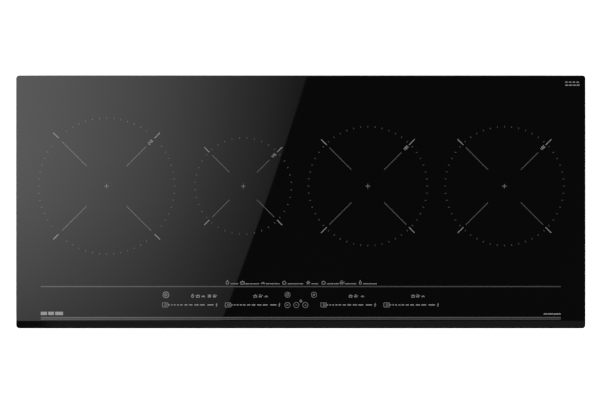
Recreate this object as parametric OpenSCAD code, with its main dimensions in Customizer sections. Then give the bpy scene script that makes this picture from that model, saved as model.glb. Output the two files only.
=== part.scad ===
// Built-in induction hob with four zones in one row.
// Millimetres, +Z up, front at -Y. The origin is the centre of the plane
// where the worktop seal rests, so glass is above z = 0 and the casing below.

/* [Glass] */
// Width of the glass, left to right
glass_w = 900; // [890:5:920]
// Depth of the glass, front to back
glass_d = 400; // [396:2:410]
// Thickness of the glass
glass_t = 4; // [4:0.5:6]
// Radius of the glass corners in plan
glass_corner_r = 5; // [3:0.5:6]
// Width of the ground front bevel in plan
bevel_w = 12; // [10:0.5:13]
// Drop of the front bevel at the front edge
bevel_drop = 2.4; // [1.5:0.1:2.8]

/* [Worktop seal] */
// Height of the foam seal under the glass
seal_t = 2; // [2:0.25:3]
// Width of the foam seal
seal_w = 8; // [6:1:9]

/* [Casing] */
// Width of the sheet-steel tray
tray_w = 850; // [848:1:856]
// Depth of the sheet-steel tray, front to back
tray_d = 362; // [360:1:366]
// How far the tray reaches below the worktop's top
tray_depth = 50; // [50:1:54]
// Thickness of the tray's sheet steel
sheet_t = 0.8; // [0.7:0.1:1]

/* [Cooking zones] */
// Radius of the coil carrier of the large zone
large_coil_r = 100; // [96:1:100]
// Radius of the coil carrier of the small zone
small_coil_r = 70; // [66:1:70]
// Radius of the coil carrier of the two medium zones
medium_coil_r = 86; // [82:1:86]
// How far the zones sit behind the middle of the glass
zone_y = 25; // [23:1:27]
// How far a coil can be pressed down on its springs
coil_travel = 3; // [2:0.5:3]

/* [Blowers] */
// Radius of the blower wheel
wheel_r = 42; // [40:1:43]
// Number of blades on the wheel
blades = 28; // [20:2:32]

/* [Hidden] */
$fn = 48;
eps = 0.01;

// Heights
glass_z = seal_t;
glass_top = glass_z + glass_t;
floor_out = -tray_depth;
floor_in = floor_out + sheet_t;
rim_top = 1;
plate_t = 1.2;
plate_z = -17.2;
plate_top = plate_z + plate_t;
board_z = floor_in + 5.6;
board_t = 1.6;
board_top = board_z + board_t;
parts_top = -23.2;

// Glass trim
arris = 0.6;
seal_inset = 4;
bond_t = 0.6;
flange_t = 1;
flange_w = 9;
lip_gap = 0.2;
lip_depth = 15;

// Coils: centre x, carrier radius, side that the leads leave by
zones = [
    [-307, large_coil_r, 1],
    [-91, small_coil_r, -1],
    [106, medium_coil_r, 1],
    [322, medium_coil_r, -1]
];
litz_r = 1.7;
lead_r = 1.4;
turn_pitch = 3.6;
coil_in_r = 25;
mica_z = 1.1;
mica_t = 0.5;
disc_z = -4.2;
disc_t = 1.4;
winding_z = disc_z + disc_t + litz_r + 0.2;
ferrite_t = 4;
pocket_z = disc_z - 5;
ferrite_w = 11;
ferrites_per_coil = 8;
springs_per_coil = 4;
peg_inset = 12;
peg_r = 3;
lead_gap = 3.5;
lead_spread = 9;
lug_z = -38.5;
lug_h = 10;

// Front-to-back extent of the coil plates
plate_y0 = -104;
plate_y1 = 176;
pillar_xs = [-410, -150, -8];
pillar_ys = [-95, 165];

// Power modules, drawn on the left and mirrored for the right
blower_x = -345;
blower_y = -108;
scroll_r = 52;
blower_h = 24;
blower_z = floor_in + 1.6;
duct_end = 58;
ear_h = 4.6;
wall_t = 1.6;
sink_x0 = -397;
sink_x1 = -337;
sink_y0 = -46;
sink_y1 = 108;
board_x0 = -401;
board_x1 = -156;
board_y0 = -48;
board_y1 = 150;

// Filter board, in the middle
filter_x0 = -118;
filter_x1 = 38;
filter_y0 = -38;
filter_y1 = 100;

// Fixing posts under the boards
power_posts = [[-325, -43], [-205, -43], [-162, 100], [-162, 144], [-300, 144],
               [-395, 144]];
filter_posts = [[-112, -32], [32, -32], [-112, 94], [32, 94]];

// Touch unit
touch_w = 460;
touch_d = 52;
touch_y = -144.5;
touch_z = -9;
touch_top = 1.6;
touch_board_z = -5;
touch_plug_x = 190;
key_xs = [-213, -20, 21];
slider_xs = [-176, -78, 73, 170];
slider_y = -163;
key_row_y = -147;

// Terminal compartment
box_x0 = 60;
box_x1 = 140;
box_y0 = 117;
box_top = -25;
box_wall = 2;
inlet_x = 100;
inlet_z = -37.8;
inlet_r = 6.5;
grommet_r = 8.4;
cover_x0 = 63;
cover_x1 = 137;
hinge_y = 122.2;
hinge_z = -47.2;
hinge_pin_r = 1.25;
hinge_bore_r = 1.32;

// Retaining clips
clip_w = 22;
clip_t = 0.8;
clip_ys = [-110, 110];
clip_pivot_z = -29;
clip_bulge = 8.5;

// Fasteners
screw_r = 1.9;
screw_hole_r = 2;
screw_clear_r = 2.2;
small_screw_r = 1.5;
head_r = 3.6;
head_h = 2.2;
long_side_screw_xs = [-375, -125, 125, 375];
short_side_screw_ys = [-40, 40];
side_screw_z = -9;

SIDES = ["left", "right"];
CLIP_ENDS = ["front", "rear"];
COIL_PIECES = ["carrier", "winding", "ferrites", "mica", "sensor", "springs"];
COIL_NODES = [for (i = [1:4], p = COIL_PIECES) str("coil_", i, "_", p)];
BLOWER_NODES = [for (s = SIDES, p = ["housing", "rotor"]) str("blower_", s, "_", p)];
CLIP_NODES = [for (s = SIDES, e = CLIP_ENDS) str("clip_", s, "_", e)];

function unit(v) = v / norm(v);

// ---------------------------------------------------------------- helpers

// A plate with round corners, standing on z = 0
module rounded_plate(w, d, h, r) {
    translate([-w / 2 + r, -d / 2, 0]) cube([w - 2 * r, d, h]);
    translate([-w / 2, -d / 2 + r, 0]) cube([w, d - 2 * r, h]);
    for (x = [-1, 1], y = [-1, 1])
        translate([x * (w / 2 - r), y * (d / 2 - r), 0]) cylinder(r = r, h = h);
}

// A rectangular ring, band wide, standing on z = 0
module ring_plate(w, d, band, h, r) {
    difference() {
        rounded_plate(w, d, h, r);
        translate([0, 0, -1])
            rounded_plate(w - 2 * band, d - 2 * band, h + 2, max(r - band, 1));
    }
}

// A slot with round ends along X, cut downwards through z = 0
module slot_x(length, width, h) {
    translate([-length / 2 + width / 2, -width / 2, -h / 2])
        cube([length - width, width, h]);
    for (s = [-1, 1])
        translate([s * (length - width) / 2, 0, -h / 2]) cylinder(d = width, h = h);
}

// Draws its children on the left, or mirrored on the right
module on_side(s) {
    if (s == "right") mirror([1, 0, 0]) children();
    else children();
}

// Outline of a bent strip of thickness t that follows the points p
function strip_normal(p, i) =
    let (a = p[max(i - 1, 0)], b = p[min(i + 1, len(p) - 1)], d = unit(b - a))
    [-d.y, d.x];
function strip_outline(p, t) = concat(
    [for (i = [0:len(p) - 1]) p[i] + t / 2 * strip_normal(p, i)],
    [for (i = [len(p) - 1:-1:0]) p[i] - t / 2 * strip_normal(p, i)]);

// Cuts the corners of a route, so that a wire bends smoothly
function rounded_route(p, times) = times == 0 ? p : rounded_route(concat(
    [p[0]],
    [for (i = [0:len(p) - 2], f = [0.25, 0.75])
        if (!(i == 0 && f == 0.25) && !(i == len(p) - 2 && f == 0.75))
            p[i] * (1 - f) + p[i + 1] * f],
    [p[len(p) - 1]]), times - 1);

// A round wire along a route, swept as one closed polyhedron
module wire(route, r, times = 2, sides = 8) {
    p = rounded_route(route, times);
    last = len(p) - 1;
    ref = unit([0.2, 0.5, 1]);
    rings = [for (i = [0:last])
        let (t = unit(p[min(i + 1, last)] - p[max(i - 1, 0)]),
             u = unit(cross(t, ref)), v = cross(t, u))
        for (k = [0:sides - 1])
            p[i] + r * (cos(360 * k / sides) * u + sin(360 * k / sides) * v)];
    walls = [for (i = [0:last - 1], k = [0:sides - 1])
        let (a = i * sides + k, b = i * sides + (k + 1) % sides)
        each [[a, b + sides, b], [a, a + sides, b + sides]]];
    ends = [for (k = [1:sides - 2], e = [0, last * sides])
        e == 0 ? [0, k, k + 1] : [e, e + k + 1, e + k]];
    polyhedron(points = rings, faces = concat(walls, ends), convexity = 4);
}

// A pan-head screw along +X, with its head outside x = 0
module pan_screw(shank) {
    rotate([0, 90, 0]) {
        cylinder(r = head_r, h = head_h * 0.6);
        translate([0, 0, head_h * 0.6])
            cylinder(r1 = head_r, r2 = head_r * 0.6, h = head_h * 0.4);
        translate([0, 0, -shank]) cylinder(r = screw_r, h = shank + eps);
    }
}

// ------------------------------------------------------------ glass and seal

module glass_panel() color([0.03, 0.03, 0.035]) difference() {
    translate([0, 0, glass_z])
        rounded_plate(glass_w, glass_d, glass_t, glass_corner_r);
    translate([0, -glass_d / 2 + bevel_w, glass_top])
        rotate([atan(bevel_drop / bevel_w), 0, 0])
            translate([-glass_w / 2 - 5, -2 * bevel_w, 0])
                cube([glass_w + 10, 2 * bevel_w, glass_t]);
    for (s = [-1, 1])
        translate([s * glass_w / 2, 0, glass_top])
            rotate([0, s * 45, 0])
                cube([arris * sqrt(2), glass_d + 10, arris * sqrt(2)], center = true);
    translate([0, glass_d / 2, glass_top])
        rotate([45, 0, 0])
            cube([glass_w + 10, arris * sqrt(2), arris * sqrt(2)], center = true);
}

module worktop_seal() color([0.1, 0.1, 0.1])
    ring_plate(glass_w - 2 * seal_inset, glass_d - 2 * seal_inset, seal_w, seal_t, 5);

lip_w = tray_w - 2 * sheet_t - 2 * lip_gap;
lip_d = tray_d - 2 * sheet_t - 2 * lip_gap;

module silicone_bond() color([0.16, 0.16, 0.17])
    translate([0, 0, glass_z - bond_t])
        ring_plate(lip_w, lip_d, flange_w, bond_t, 2);

// Folded steel angle under the glass: a flat flange and a lip inside the tray
module glass_frame() color([0.68, 0.7, 0.72]) difference() {
    union() {
        translate([0, 0, glass_z - bond_t - flange_t])
            ring_plate(lip_w, lip_d, flange_w, flange_t, 2);
        translate([0, 0, -lip_depth])
            ring_plate(lip_w, lip_d, flange_t, lip_depth + glass_z - bond_t - eps, 2);
    }
    side_screw_places() rotate([0, 90, 0])
        cylinder(r = screw_hole_r, h = 8, center = true);
}

// --------------------------------------------------------------------- tray

// Puts a child drawn along +X at each screw that holds the tray to the frame
module side_screw_places() {
    for (s = [-1, 1], x = long_side_screw_xs)
        translate([x, s * tray_d / 2, side_screw_z]) rotate([0, 0, s * 90]) children();
    for (s = [-1, 1], y = short_side_screw_ys)
        translate([s * tray_w / 2, y, side_screw_z])
            rotate([0, 0, s < 0 ? 180 : 0]) children();
}

module side_screws() color([0.75, 0.76, 0.78])
    side_screw_places() pan_screw(5);

// Straight slots inside a circle, for a blower's intake
module intake_slots() {
    pitch = 8;
    reach = wheel_r - 6;
    for (i = [-4:4])
        translate([0, i * pitch, 0])
            slot_x(2 * sqrt(reach * reach - pow(i * pitch, 2)), 4.6, 4);
}

// Upright slots in the rear wall behind a heatsink
module exhaust_slots() {
    for (i = [0:8])
        translate([sink_x0 + 2 + i * 7, tray_d / 2, -32])
            rotate([90, 90, 0]) slot_x(18, 3.6, 6);
}

// Rows of slots in the middle of the floor
module floor_vents() {
    for (x = [-240, -210, 210, 240], i = [0:3])
        translate([x, -86 + i * 9, floor_out]) slot_x(24, 4, 6);
}

// Slots in the front wall
module front_vents() {
    for (s = [-1, 1], i = [0:9])
        translate([s * (130 + i * 12), -tray_d / 2, -38])
            rotate([90, 90, 0]) slot_x(12, 3.6, 6);
}

// Middle and length of each stiffening bead in the floor
bead_lines = [[0, -60, 270], [0, -77, 270], [0, -113, 270], [0, -129, 270],
              [-230, -112, 90], [230, -112, 90]];
bead_w = 6;
bead_h = 1.4;

// Stiffening beads pressed up from below, grown by the sheet on the inside
module floor_beads(grow) {
    for (b = bead_lines)
        translate([b.x, b.y, floor_out - sheet_t + grow])
            slot_x(b.z + 2 * grow, bead_w + 2 * grow, 2 * (bead_h + sheet_t));
}

module base_tray() color([0.72, 0.74, 0.76]) difference() {
    union() {
        difference() {
            translate([0, 0, floor_out])
                rounded_plate(tray_w, tray_d, tray_depth + rim_top, 3);
            translate([0, 0, floor_in])
                rounded_plate(tray_w - 2 * sheet_t, tray_d - 2 * sheet_t,
                              tray_depth + rim_top, 3 - sheet_t);
        }
        intersection() {
            floor_beads(sheet_t);
            translate([-tray_w / 2, -tray_d / 2, floor_out]) cube([tray_w, tray_d, 9]);
        }
    }
    floor_beads(0);
    for (s = SIDES) on_side(s) {
        translate([blower_x, blower_y, floor_out]) intake_slots();
        exhaust_slots();
    }
    floor_vents();
    front_vents();
    translate([box_x0 + 1.8, box_y0 + 2.2, floor_out - 1])
        cube([box_x1 - box_x0 - 3.6, 58.2, sheet_t + 2]);
    translate([inlet_x, tray_d / 2, inlet_z]) rotate([90, 0, 0])
        cylinder(r = grommet_r + 0.1, h = 6, center = true);
    side_screw_places() rotate([0, 90, 0])
        cylinder(r = screw_clear_r, h = 8, center = true);
    for (s = [-1, 1], y = clip_ys)
        translate([s * tray_w / 2, y, clip_pivot_z])
            cube([4, clip_w + 1.6, 2], center = true);
}

// ------------------------------------------------------------- retaining clips

// Side view of a clip: outward distance from the tray wall, then height
clip_path = [
    [-2.6, clip_pivot_z - 3], [-2.6, clip_pivot_z], [1.2, clip_pivot_z],
    [2, clip_pivot_z + 3], [5, clip_pivot_z + 12], [7.6, clip_pivot_z + 18],
    [clip_bulge, clip_pivot_z + 21], [8.2, clip_pivot_z + 23.5],
    [6.6, clip_pivot_z + 26.5]
];

// A spring-steel leaf hooked through a slot in the tray's side wall
module clip(side, end) color([0.55, 0.57, 0.6])
    on_side(side) translate([-tray_w / 2, clip_ys[end], 0])
        mirror([1, 0, 0]) rotate([90, 0, 0]) translate([0, 0, -clip_w / 2]) {
            linear_extrude(clip_w) polygon(strip_outline(clip_path, clip_t));
            translate([0, clip_pivot_z, 0]) cylinder(r = 0.75, h = clip_w);
        }

// ---------------------------------------------------------------- coil plates

// Aluminium plate that carries two coils and screens the boards below
module coil_plate(first, side) color([0.82, 0.83, 0.85]) difference() {
    on_side(side) {
        translate([-421, plate_y0, plate_z]) cube([420, plate_y1 - plate_y0, plate_t]);
        for (y = [plate_y0, plate_y1 - plate_t])
            translate([-421, y, plate_z - 6]) cube([420, plate_t, 6 + eps]);
    }
    on_side(side) for (x = pillar_xs, y = pillar_ys)
        translate([x, y, plate_z - 1]) cylinder(r = screw_clear_r, h = plate_t + 2);
    for (i = [first, first + 1]) {
        at_pegs(i) translate([0, 0, plate_z - 1])
            cylinder(r = peg_r + 0.7, h = plate_t + 2);
        translate([zones[i].x, zone_y, plate_z - 1]) cylinder(r = 14, h = plate_t + 2);
        for (y = [-1, 1])
            translate([lead_x(i), zone_y + y * lead_spread, plate_z - 1])
                cylinder(r = 5, h = plate_t + 2);
    }
}

module plate_pillars() color([0.7, 0.72, 0.74])
    for (s = SIDES) on_side(s)
        for (x = pillar_xs, y = pillar_ys)
            translate([x, y, floor_in]) difference() {
                cylinder(r = 4, h = plate_z - floor_in, $fn = 6);
                translate([0, 0, plate_z - floor_in - 8])
                    cylinder(r = screw_hole_r, h = 9, $fn = 24);
            }

// A cheese-head screw that points down, its head on z = 0
module down_screw(r, shank) {
    cylinder(r = 1.9 * r, h = head_h);
    translate([0, 0, -shank]) cylinder(r = r, h = shank + eps);
}

module inner_screws() color([0.75, 0.76, 0.78]) {
    for (s = SIDES) on_side(s) {
        for (x = pillar_xs, y = pillar_ys)
            translate([x, y, plate_top]) down_screw(screw_r, plate_t + 5);
        for (q = power_posts)
            translate([q.x, q.y, board_top]) down_screw(small_screw_r, board_t + 3);
    }
    for (s = SIDES) at_blower_ears(s)
        translate([0, 0, ear_h]) down_screw(small_screw_r, ear_h);
    for (q = filter_posts)
        translate([q.x, q.y, board_top]) down_screw(small_screw_r, board_t + 3);
}

// ---------------------------------------------------------------------- coils

function lead_x(i) = zones[i].x + zones[i][2] * (zones[i][1] + lead_gap);
function turns(r) = floor((r - 5 - coil_in_r) / turn_pitch);
function winding_r(r) = coil_in_r + turns(r) * turn_pitch;

// Puts a child at each guide peg of coil i
module at_pegs(i) {
    for (k = [0:springs_per_coil - 1])
        translate([zones[i].x, zone_y, 0]) rotate([0, 0, k * 360 / springs_per_coil])
            translate([zones[i][1] - peg_inset, 0, 0]) children();
}

// Puts a child along +X at each ferrite bar of coil i
module at_ferrites(i) {
    for (k = [0:ferrites_per_coil - 1])
        translate([zones[i].x, zone_y, 0])
            rotate([0, 0, (k + 0.5) * 360 / ferrites_per_coil]) children();
}

module coil_carrier(i) color([0.13, 0.13, 0.14]) {
    r = zones[i][1];
    difference() {
        union() {
            translate([zones[i].x, zone_y, 0]) {
                translate([0, 0, disc_z]) difference() {
                    cylinder(r = r, h = disc_t);
                    translate([0, 0, -1]) cylinder(r = 6.2, h = disc_t + 2);
                }
                translate([0, 0, disc_z]) difference() {
                    cylinder(r = r, h = mica_z - disc_z);
                    translate([0, 0, -1]) cylinder(r = r - 1.8, h = 10);
                }
                translate([0, 0, disc_z]) difference() {
                    cylinder(r = coil_in_r - 3, h = mica_z - disc_z);
                    translate([0, 0, -1]) cylinder(r = coil_in_r - 4.6, h = 10);
                }
            }
            at_ferrites(i) for (s = [-1, 1])
                translate([coil_in_r + 4, s * (ferrite_w / 2 + 0.9) - 0.6, pocket_z])
                    cube([r - coil_in_r - 10, 1.2, disc_z - pocket_z + eps]);
            at_pegs(i) {
                translate([0, 0, pocket_z]) cylinder(r = 6, h = disc_z - pocket_z + eps);
                translate([0, 0, plate_z - 1.2])
                    cylinder(r = peg_r, h = pocket_z - plate_z + 1.2 + eps);
            }
        }
        translate([zones[i].x + zones[i][2] * r, zone_y, disc_z + disc_t + 3])
            cube([12, 2 * lead_spread + 8, 6], center = true);
    }
}

// Profile of the wound litz, one scallop for each turn
function winding_profile(r) = let (n = turns(r)) concat(
    [for (k = [0:n]) for (f = [0, 0.5])
        if (k < n || f == 0)
            [coil_in_r + (k + f) * turn_pitch, f == 0 ? litz_r * 0.75 : litz_r]],
    [for (k = [n:-1:0]) for (f = [0.5, 0])
        if (k < n || f == 0)
            [coil_in_r + (k + f) * turn_pitch, f == 0 ? -litz_r * 0.75 : -litz_r]]);

// Flat litz winding with its two leads and their push-on terminals
module coil_winding(i) color([0.72, 0.4, 0.22]) {
    r = zones[i][1];
    side = zones[i][2];
    translate([zones[i].x, zone_y, winding_z])
        rotate_extrude() polygon(winding_profile(r));
    for (y = [-1, 1]) translate([lead_x(i), zone_y + y * lead_spread, 0]) {
        translate([0, 0, lug_z + lug_h - eps])
            cylinder(r = lead_r, h = winding_z - lug_z - lug_h + eps);
        translate([0, 0, winding_z]) sphere(r = litz_r);
        translate([0, 0, winding_z]) rotate([0, -side * 90, 0])
            cylinder(r = lead_r, h = r + lead_gap - winding_r(r) + 3);
        difference() {
            translate([-1.5, -4, lug_z]) cube([3, 8, lug_h]);
            translate([-0.7, -3.35, lug_z - 1]) cube([1.4, 6.7, lug_h - 0.2]);
        }
    }
}

module coil_ferrites(i) color([0.22, 0.22, 0.23])
    at_ferrites(i)
        translate([coil_in_r + 5, -ferrite_w / 2, disc_z - ferrite_t])
            cube([zones[i][1] - coil_in_r - 12, ferrite_w, ferrite_t]);

module coil_mica(i) color([0.78, 0.74, 0.6])
    translate([zones[i].x, zone_y, mica_z]) difference() {
        cylinder(r = zones[i][1] - 1, h = mica_t);
        translate([0, 0, -1]) cylinder(r = 10, h = mica_t + 2);
    }

// Silicone plug with the temperature sensor that touches the glass
module coil_sensor(i) color([0.85, 0.85, 0.83])
    translate([zones[i].x, zone_y, 0]) {
        translate([0, 0, pocket_z]) cylinder(r = 6, h = mica_z + 0.4 - pocket_z);
        translate([0, 0, disc_z + disc_t]) cylinder(r = 9, h = 1.4);
        translate([0, 0, mica_z]) cylinder(r = 3.5, h = 0.7);
    }

// Side profile of a spring: a bellows that stands for the wound wire
function spring_profile(r, h, n) = concat(
    [for (k = [0:2 * n]) [r + (k % 2 == 0 ? -0.35 : 0.55), k * h / (2 * n)]],
    [for (k = [2 * n:-1:0]) [r - 0.7 + (k % 2 == 0 ? -0.35 : 0.55), k * h / (2 * n)]]);

module coil_springs(i) color([0.6, 0.62, 0.65])
    at_pegs(i) translate([0, 0, plate_top])
        rotate_extrude() polygon(spring_profile(4.6, pocket_z - plate_top, 4));

// -------------------------------------------------------------------- blowers

module at_blower(side) {
    on_side(side) translate([blower_x, blower_y, blower_z]) children();
}

// Puts a child on the floor at each of a blower's three fixing ears
module at_blower_ears(side) {
    at_blower(side) for (a = [-10, 72, 225]) rotate([0, 0, a])
        translate([scroll_r + 4, 0, floor_in - blower_z]) children();
}

// Scroll housing: intake below, outlet duct towards the heatsink
module blower_housing(side) color([0.1, 0.1, 0.11]) difference() {
    union() {
        at_blower(side) {
            cylinder(r = scroll_r, h = blower_h);
            translate([-scroll_r, 0, 0]) cube([scroll_r, duct_end, blower_h]);
            translate([0, 0, floor_in - blower_z])
                cylinder(r = wheel_r - 3, h = blower_z - floor_in + eps);
        }
        at_blower_ears(side) {
            cylinder(r = 4, h = ear_h);
            translate([-5, -4, 0]) cube([5, 8, ear_h]);
        }
    }
    at_blower(side) {
        translate([0, 0, wall_t])
            cylinder(r = scroll_r - wall_t, h = blower_h - 2 * wall_t);
        translate([-scroll_r + wall_t, 0, wall_t])
            cube([scroll_r - 2 * wall_t, duct_end + 2, blower_h - 2 * wall_t]);
        translate([0, 0, -4]) cylinder(r = wheel_r - 5, h = 4 + eps);
        cylinder(r = wheel_r - 9, h = 4);
    }
    at_blower_ears(side) translate([0, 0, -1])
        cylinder(r = small_screw_r + 0.1, h = ear_h + 2);
}

// Outer-rotor wheel: hub cup, back disc, blades, intake ring and shaft
module blower_rotor(side) color([0.16, 0.16, 0.17]) at_blower(side) {
    difference() {
        union() {
            cylinder_at(6, 14, 20);
            cylinder_at(18.8, 1.2, wheel_r);
        }
        cylinder_at(7.4, 20, 18.8);
    }
    cylinder_at(7, 13.6, 1.5);
    for (k = [0:blades - 1]) rotate([0, 0, k * 360 / blades])
        translate([wheel_r - 6.2, 0, 4.6]) rotate([0, 0, 32])
            translate([-4.6, -0.45, 0]) cube([9.2, 0.9, 14.7]);
    difference() {
        cylinder_at(4, 2, wheel_r);
        cylinder_at(3, 4, wheel_r - 3.7);
    }
}

// A cylinder that starts at height z
module cylinder_at(z, h, r) {
    translate([0, 0, z]) cylinder(r = r, h = h);
}

// Stator with bearing tube, fixed under the housing's top
module blower_motors() color([0.35, 0.36, 0.38])
    for (s = SIDES) at_blower(s) difference() {
        union() {
            cylinder_at(9, blower_h - wall_t - 9, 4);
            cylinder_at(20.6, blower_h - wall_t - 20.6, 12);
            for (k = [0:5]) rotate([0, 0, k * 60]) {
                translate([3, -1.5, 10]) cube([12, 3, 7]);
                translate([14, -5, 10]) cube([2.6, 10, 7]);
            }
        }
        cylinder_at(8, 12.8, 1.56);
    }

// --------------------------------------------------------------- power boards

// A moulded tray on the floor, with bored posts that lift a board
module board_tray(x0, y0, x1, y1, posts) difference() {
    union() {
        translate([x0 - 1, y0 - 1, floor_in]) cube([x1 - x0 + 2, y1 - y0 + 2, 1.6]);
        for (q = posts)
            translate([q.x, q.y, floor_in]) cylinder(r = 3.6, h = board_z - floor_in);
    }
    post_holes(posts, small_screw_r + 0.1);
}

// Bores from just above the tray's floor up through a board
module post_holes(posts, r) {
    for (q = posts)
        translate([q.x, q.y, board_z - 4]) cylinder(r = r, h = 9);
}

module board_trays() color([0.86, 0.86, 0.84]) {
    for (s = SIDES) on_side(s)
        board_tray(board_x0, board_y0, board_x1, board_y1, power_posts);
    board_tray(filter_x0, filter_y0, filter_x1, filter_y1, filter_posts);
}

// A bare board with its fixing holes
module bare_board(x0, y0, x1, y1, posts) difference() {
    translate([x0, y0, board_z]) cube([x1 - x0, y1 - y0, board_t]);
    post_holes(posts, small_screw_r + 0.2);
}

// A plug-in connector block on a board
module connector(x, y, w, d, h) {
    translate([x, y, board_top - eps]) cube([w, d, h]);
}

// Upright blades that the coil leads push on to
module blade_tabs(xs) {
    for (x = xs, y = [-1, 1])
        translate([x - 0.4, zone_y + y * lead_spread - 3.15, board_top - eps])
            cube([0.8, 6.3, 9]);
}

module power_board(side) color([0.1, 0.36, 0.2]) {
    on_side(side) {
        bare_board(board_x0, board_y0, board_x1, board_y1, power_posts);
        for (x = [-290, -262, -200]) connector(x, 136, 18, 8, 9);
        connector(-170, -44, 10, 16, 8);
        connector(-170, 66, 10, 16, 8);
        connector(-240, -44, 12, 8, 6);
    }
    blade_tabs(side == "left" ? [lead_x(0), lead_x(1)] : [lead_x(2), lead_x(3)]);
}

// Extruded aluminium: an upright wall with level fins along the air flow
module heatsinks() color([0.78, 0.79, 0.81])
    for (s = SIDES) on_side(s) {
        translate([sink_x1 - 4, sink_y0, board_top])
            cube([4, sink_y1 - sink_y0, parts_top - board_top]);
        for (k = [0:5])
            translate([sink_x0, sink_y0, board_top + 0.6 + k * 3.3])
                cube([sink_x1 - sink_x0 - 4 + eps, sink_y1 - sink_y0, 1.4]);
    }

switch_ys = [-32, -8, 16, 40, 70];

// Transistors and bridge rectifiers, clamped to the heatsink's wall
module power_switches() color([0.08, 0.08, 0.09])
    for (s = SIDES) on_side(s)
        for (y = switch_ys)
            translate([sink_x1, y, board_top + 1]) {
                cube([4.8, 16, 16]);
                for (k = [-1, 0, 1])
                    translate([2, 7.4 + k * 5.2, -1]) cube([0.6, 1.2, 1 + eps]);
            }

// Film and electrolytic capacitors of both boards and the filter
module capacitors() color([0.75, 0.72, 0.3]) {
    for (s = SIDES) on_side(s) {
        for (k = [0:3])
            translate([-318, -34 + k * 30, board_top]) cube([12, 26, 17]);
        translate([-290, 62, board_top]) cube([32, 20, 18]);
        translate([-290, 88, board_top]) cube([32, 20, 18]);
        for (k = [0:1])
            translate([-238 + k * 16, 96, board_top]) cylinder(r = 6, h = 17);
    }
    for (y = [-22, 0])
        translate([-106, y, board_top]) cube([32, 14, 17]);
}

// A wound ring core lying flat
module ring_choke(r) {
    rotate_extrude() translate([r, 0]) {
        translate([-4.5, 1]) square([9, 12]);
        translate([-3, 0]) square([6, 14]);
    }
}

module chokes() color([0.66, 0.38, 0.2]) {
    for (s = SIDES) on_side(s) {
        translate([-276, 20, board_top]) ring_choke(13);
        translate([-286, -36, board_top]) cube([28, 26, 17]);
    }
    translate([-20, 60, board_top]) ring_choke(15);
    translate([-70, 60, board_top]) ring_choke(12);
}

module filter_board() color([0.1, 0.36, 0.2]) {
    bare_board(filter_x0, filter_y0, filter_x1, filter_y1, filter_posts);
    connector(-14, 88, 28, 8, 9);
    connector(-116, 66, 10, 16, 8);
    connector(26, 56, 10, 16, 8);
    for (k = [0:2]) connector(-50 + k * 26, -30, 20, 16, 15);
}

// ----------------------------------------------------------------- touch unit

module touch_carrier() color([0.09, 0.09, 0.1]) {
    translate([0, touch_y, touch_z]) difference() {
        rounded_plate(touch_w, touch_d, touch_top - touch_z, 3);
        translate([0, 0, 1.6])
            rounded_plate(touch_w - 3.2, touch_d - 3.2, 20, 2);
        for (x = [-150:60:150])
            translate([x, 8, 0]) slot_x(30, 8, 6);
        for (s = [-1, 1])
            translate([s * touch_plug_x - 11, 12.5, -1]) cube([22, 9, 6]);
    }
    for (x = [-205, -70, 70, 205]) translate([x, touch_y - 12, 0]) {
        translate([0, 0, floor_in]) cylinder(r = 3.5, h = touch_z - floor_in + eps);
        translate([0, 0, touch_z + 1.5]) cylinder(r = 3.5, h = touch_board_z - touch_z - 1.5);
        translate([0, 0, floor_in]) cylinder(r = 6, h = 1.6);
    }
}

module touch_board() color([0.08, 0.3, 0.17])
    translate([0, touch_y, touch_board_z]) {
        rounded_plate(touch_w - 4, touch_d - 4, board_t, 2);
        for (s = [-1, 1])
            translate([s * touch_plug_x - 9, 14, -3]) cube([18, 6, 3 + eps]);
    }

// Spring contacts between the board and the underside of the glass
module touch_springs() color([0.7, 0.68, 0.6]) {
    z = touch_board_z + board_t;
    for (x = key_xs, y = [key_row_y, slider_y])
        translate([x, y, z]) rotate_extrude()
            polygon(spring_profile(3, glass_z - 0.1 - z, 4));
    for (x = slider_xs, k = [-3:3])
        translate([x + k * 10, slider_y, z]) rotate_extrude()
            polygon(spring_profile(2.6, glass_z - 0.1 - z, 4));
}

// Seven-segment display blocks and their light guides
module displays() color([0.14, 0.14, 0.15]) {
    z = touch_board_z + board_t;
    for (x = slider_xs)
        translate([x - 6, key_row_y - 4, z]) cube([24, 12, 5]);
    translate([-9, key_row_y - 4, z]) cube([18, 12, 5]);
}

// ------------------------------------------------------- terminal compartment

// Moulded box over an opening in the tray's floor
module terminal_box() color([0.12, 0.12, 0.13]) {
    w = box_x1 - box_x0;
    back = tray_d / 2 - sheet_t;
    h = box_top - floor_in;
    translate([box_x0, box_y0, floor_in]) difference() {
        cube([w, back - box_y0, h]);
        translate([box_wall, box_wall, -1])
            cube([w - 2 * box_wall, back - box_y0 - 2 * box_wall, h - box_wall + 1]);
        translate([-1, hinge_y - box_y0, hinge_z - floor_in]) rotate([0, 90, 0])
            cylinder(r = hinge_bore_r, h = w + 2);
        translate([inlet_x - box_x0, back - box_y0, inlet_z - floor_in])
            rotate([90, 0, 0]) cylinder(r = grommet_r + 0.1, h = 8, center = true);
        for (k = [0:4])
            translate([14 + k * 12, -1, h - 9]) cube([4, box_wall + 2, 4]);
    }
}

// Five-pole screw terminal under the box's ceiling
module terminal_block() color([0.88, 0.86, 0.8]) {
    top = box_top - box_wall;
    difference() {
        translate([70, 123, top - 13]) cube([60, 20, 13]);
        for (k = [0:4]) translate([76 + k * 12, 0, 0]) {
            translate([0, 129, top - 14]) cylinder(r = 3, h = 5);
            translate([0, 144, top - 5.5]) rotate([90, 0, 0]) cylinder(r = 2.6, h = 10);
            translate([5.5, 122, top - 14]) cube([1, 22, 3]);
        }
    }
    for (k = [0:4]) translate([76 + k * 12, 129, top - 12.5]) difference() {
        cylinder(r = 2.6, h = 4);
        translate([-3, -0.5, -0.1]) cube([6, 1, 1.2]);
    }
}

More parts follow.
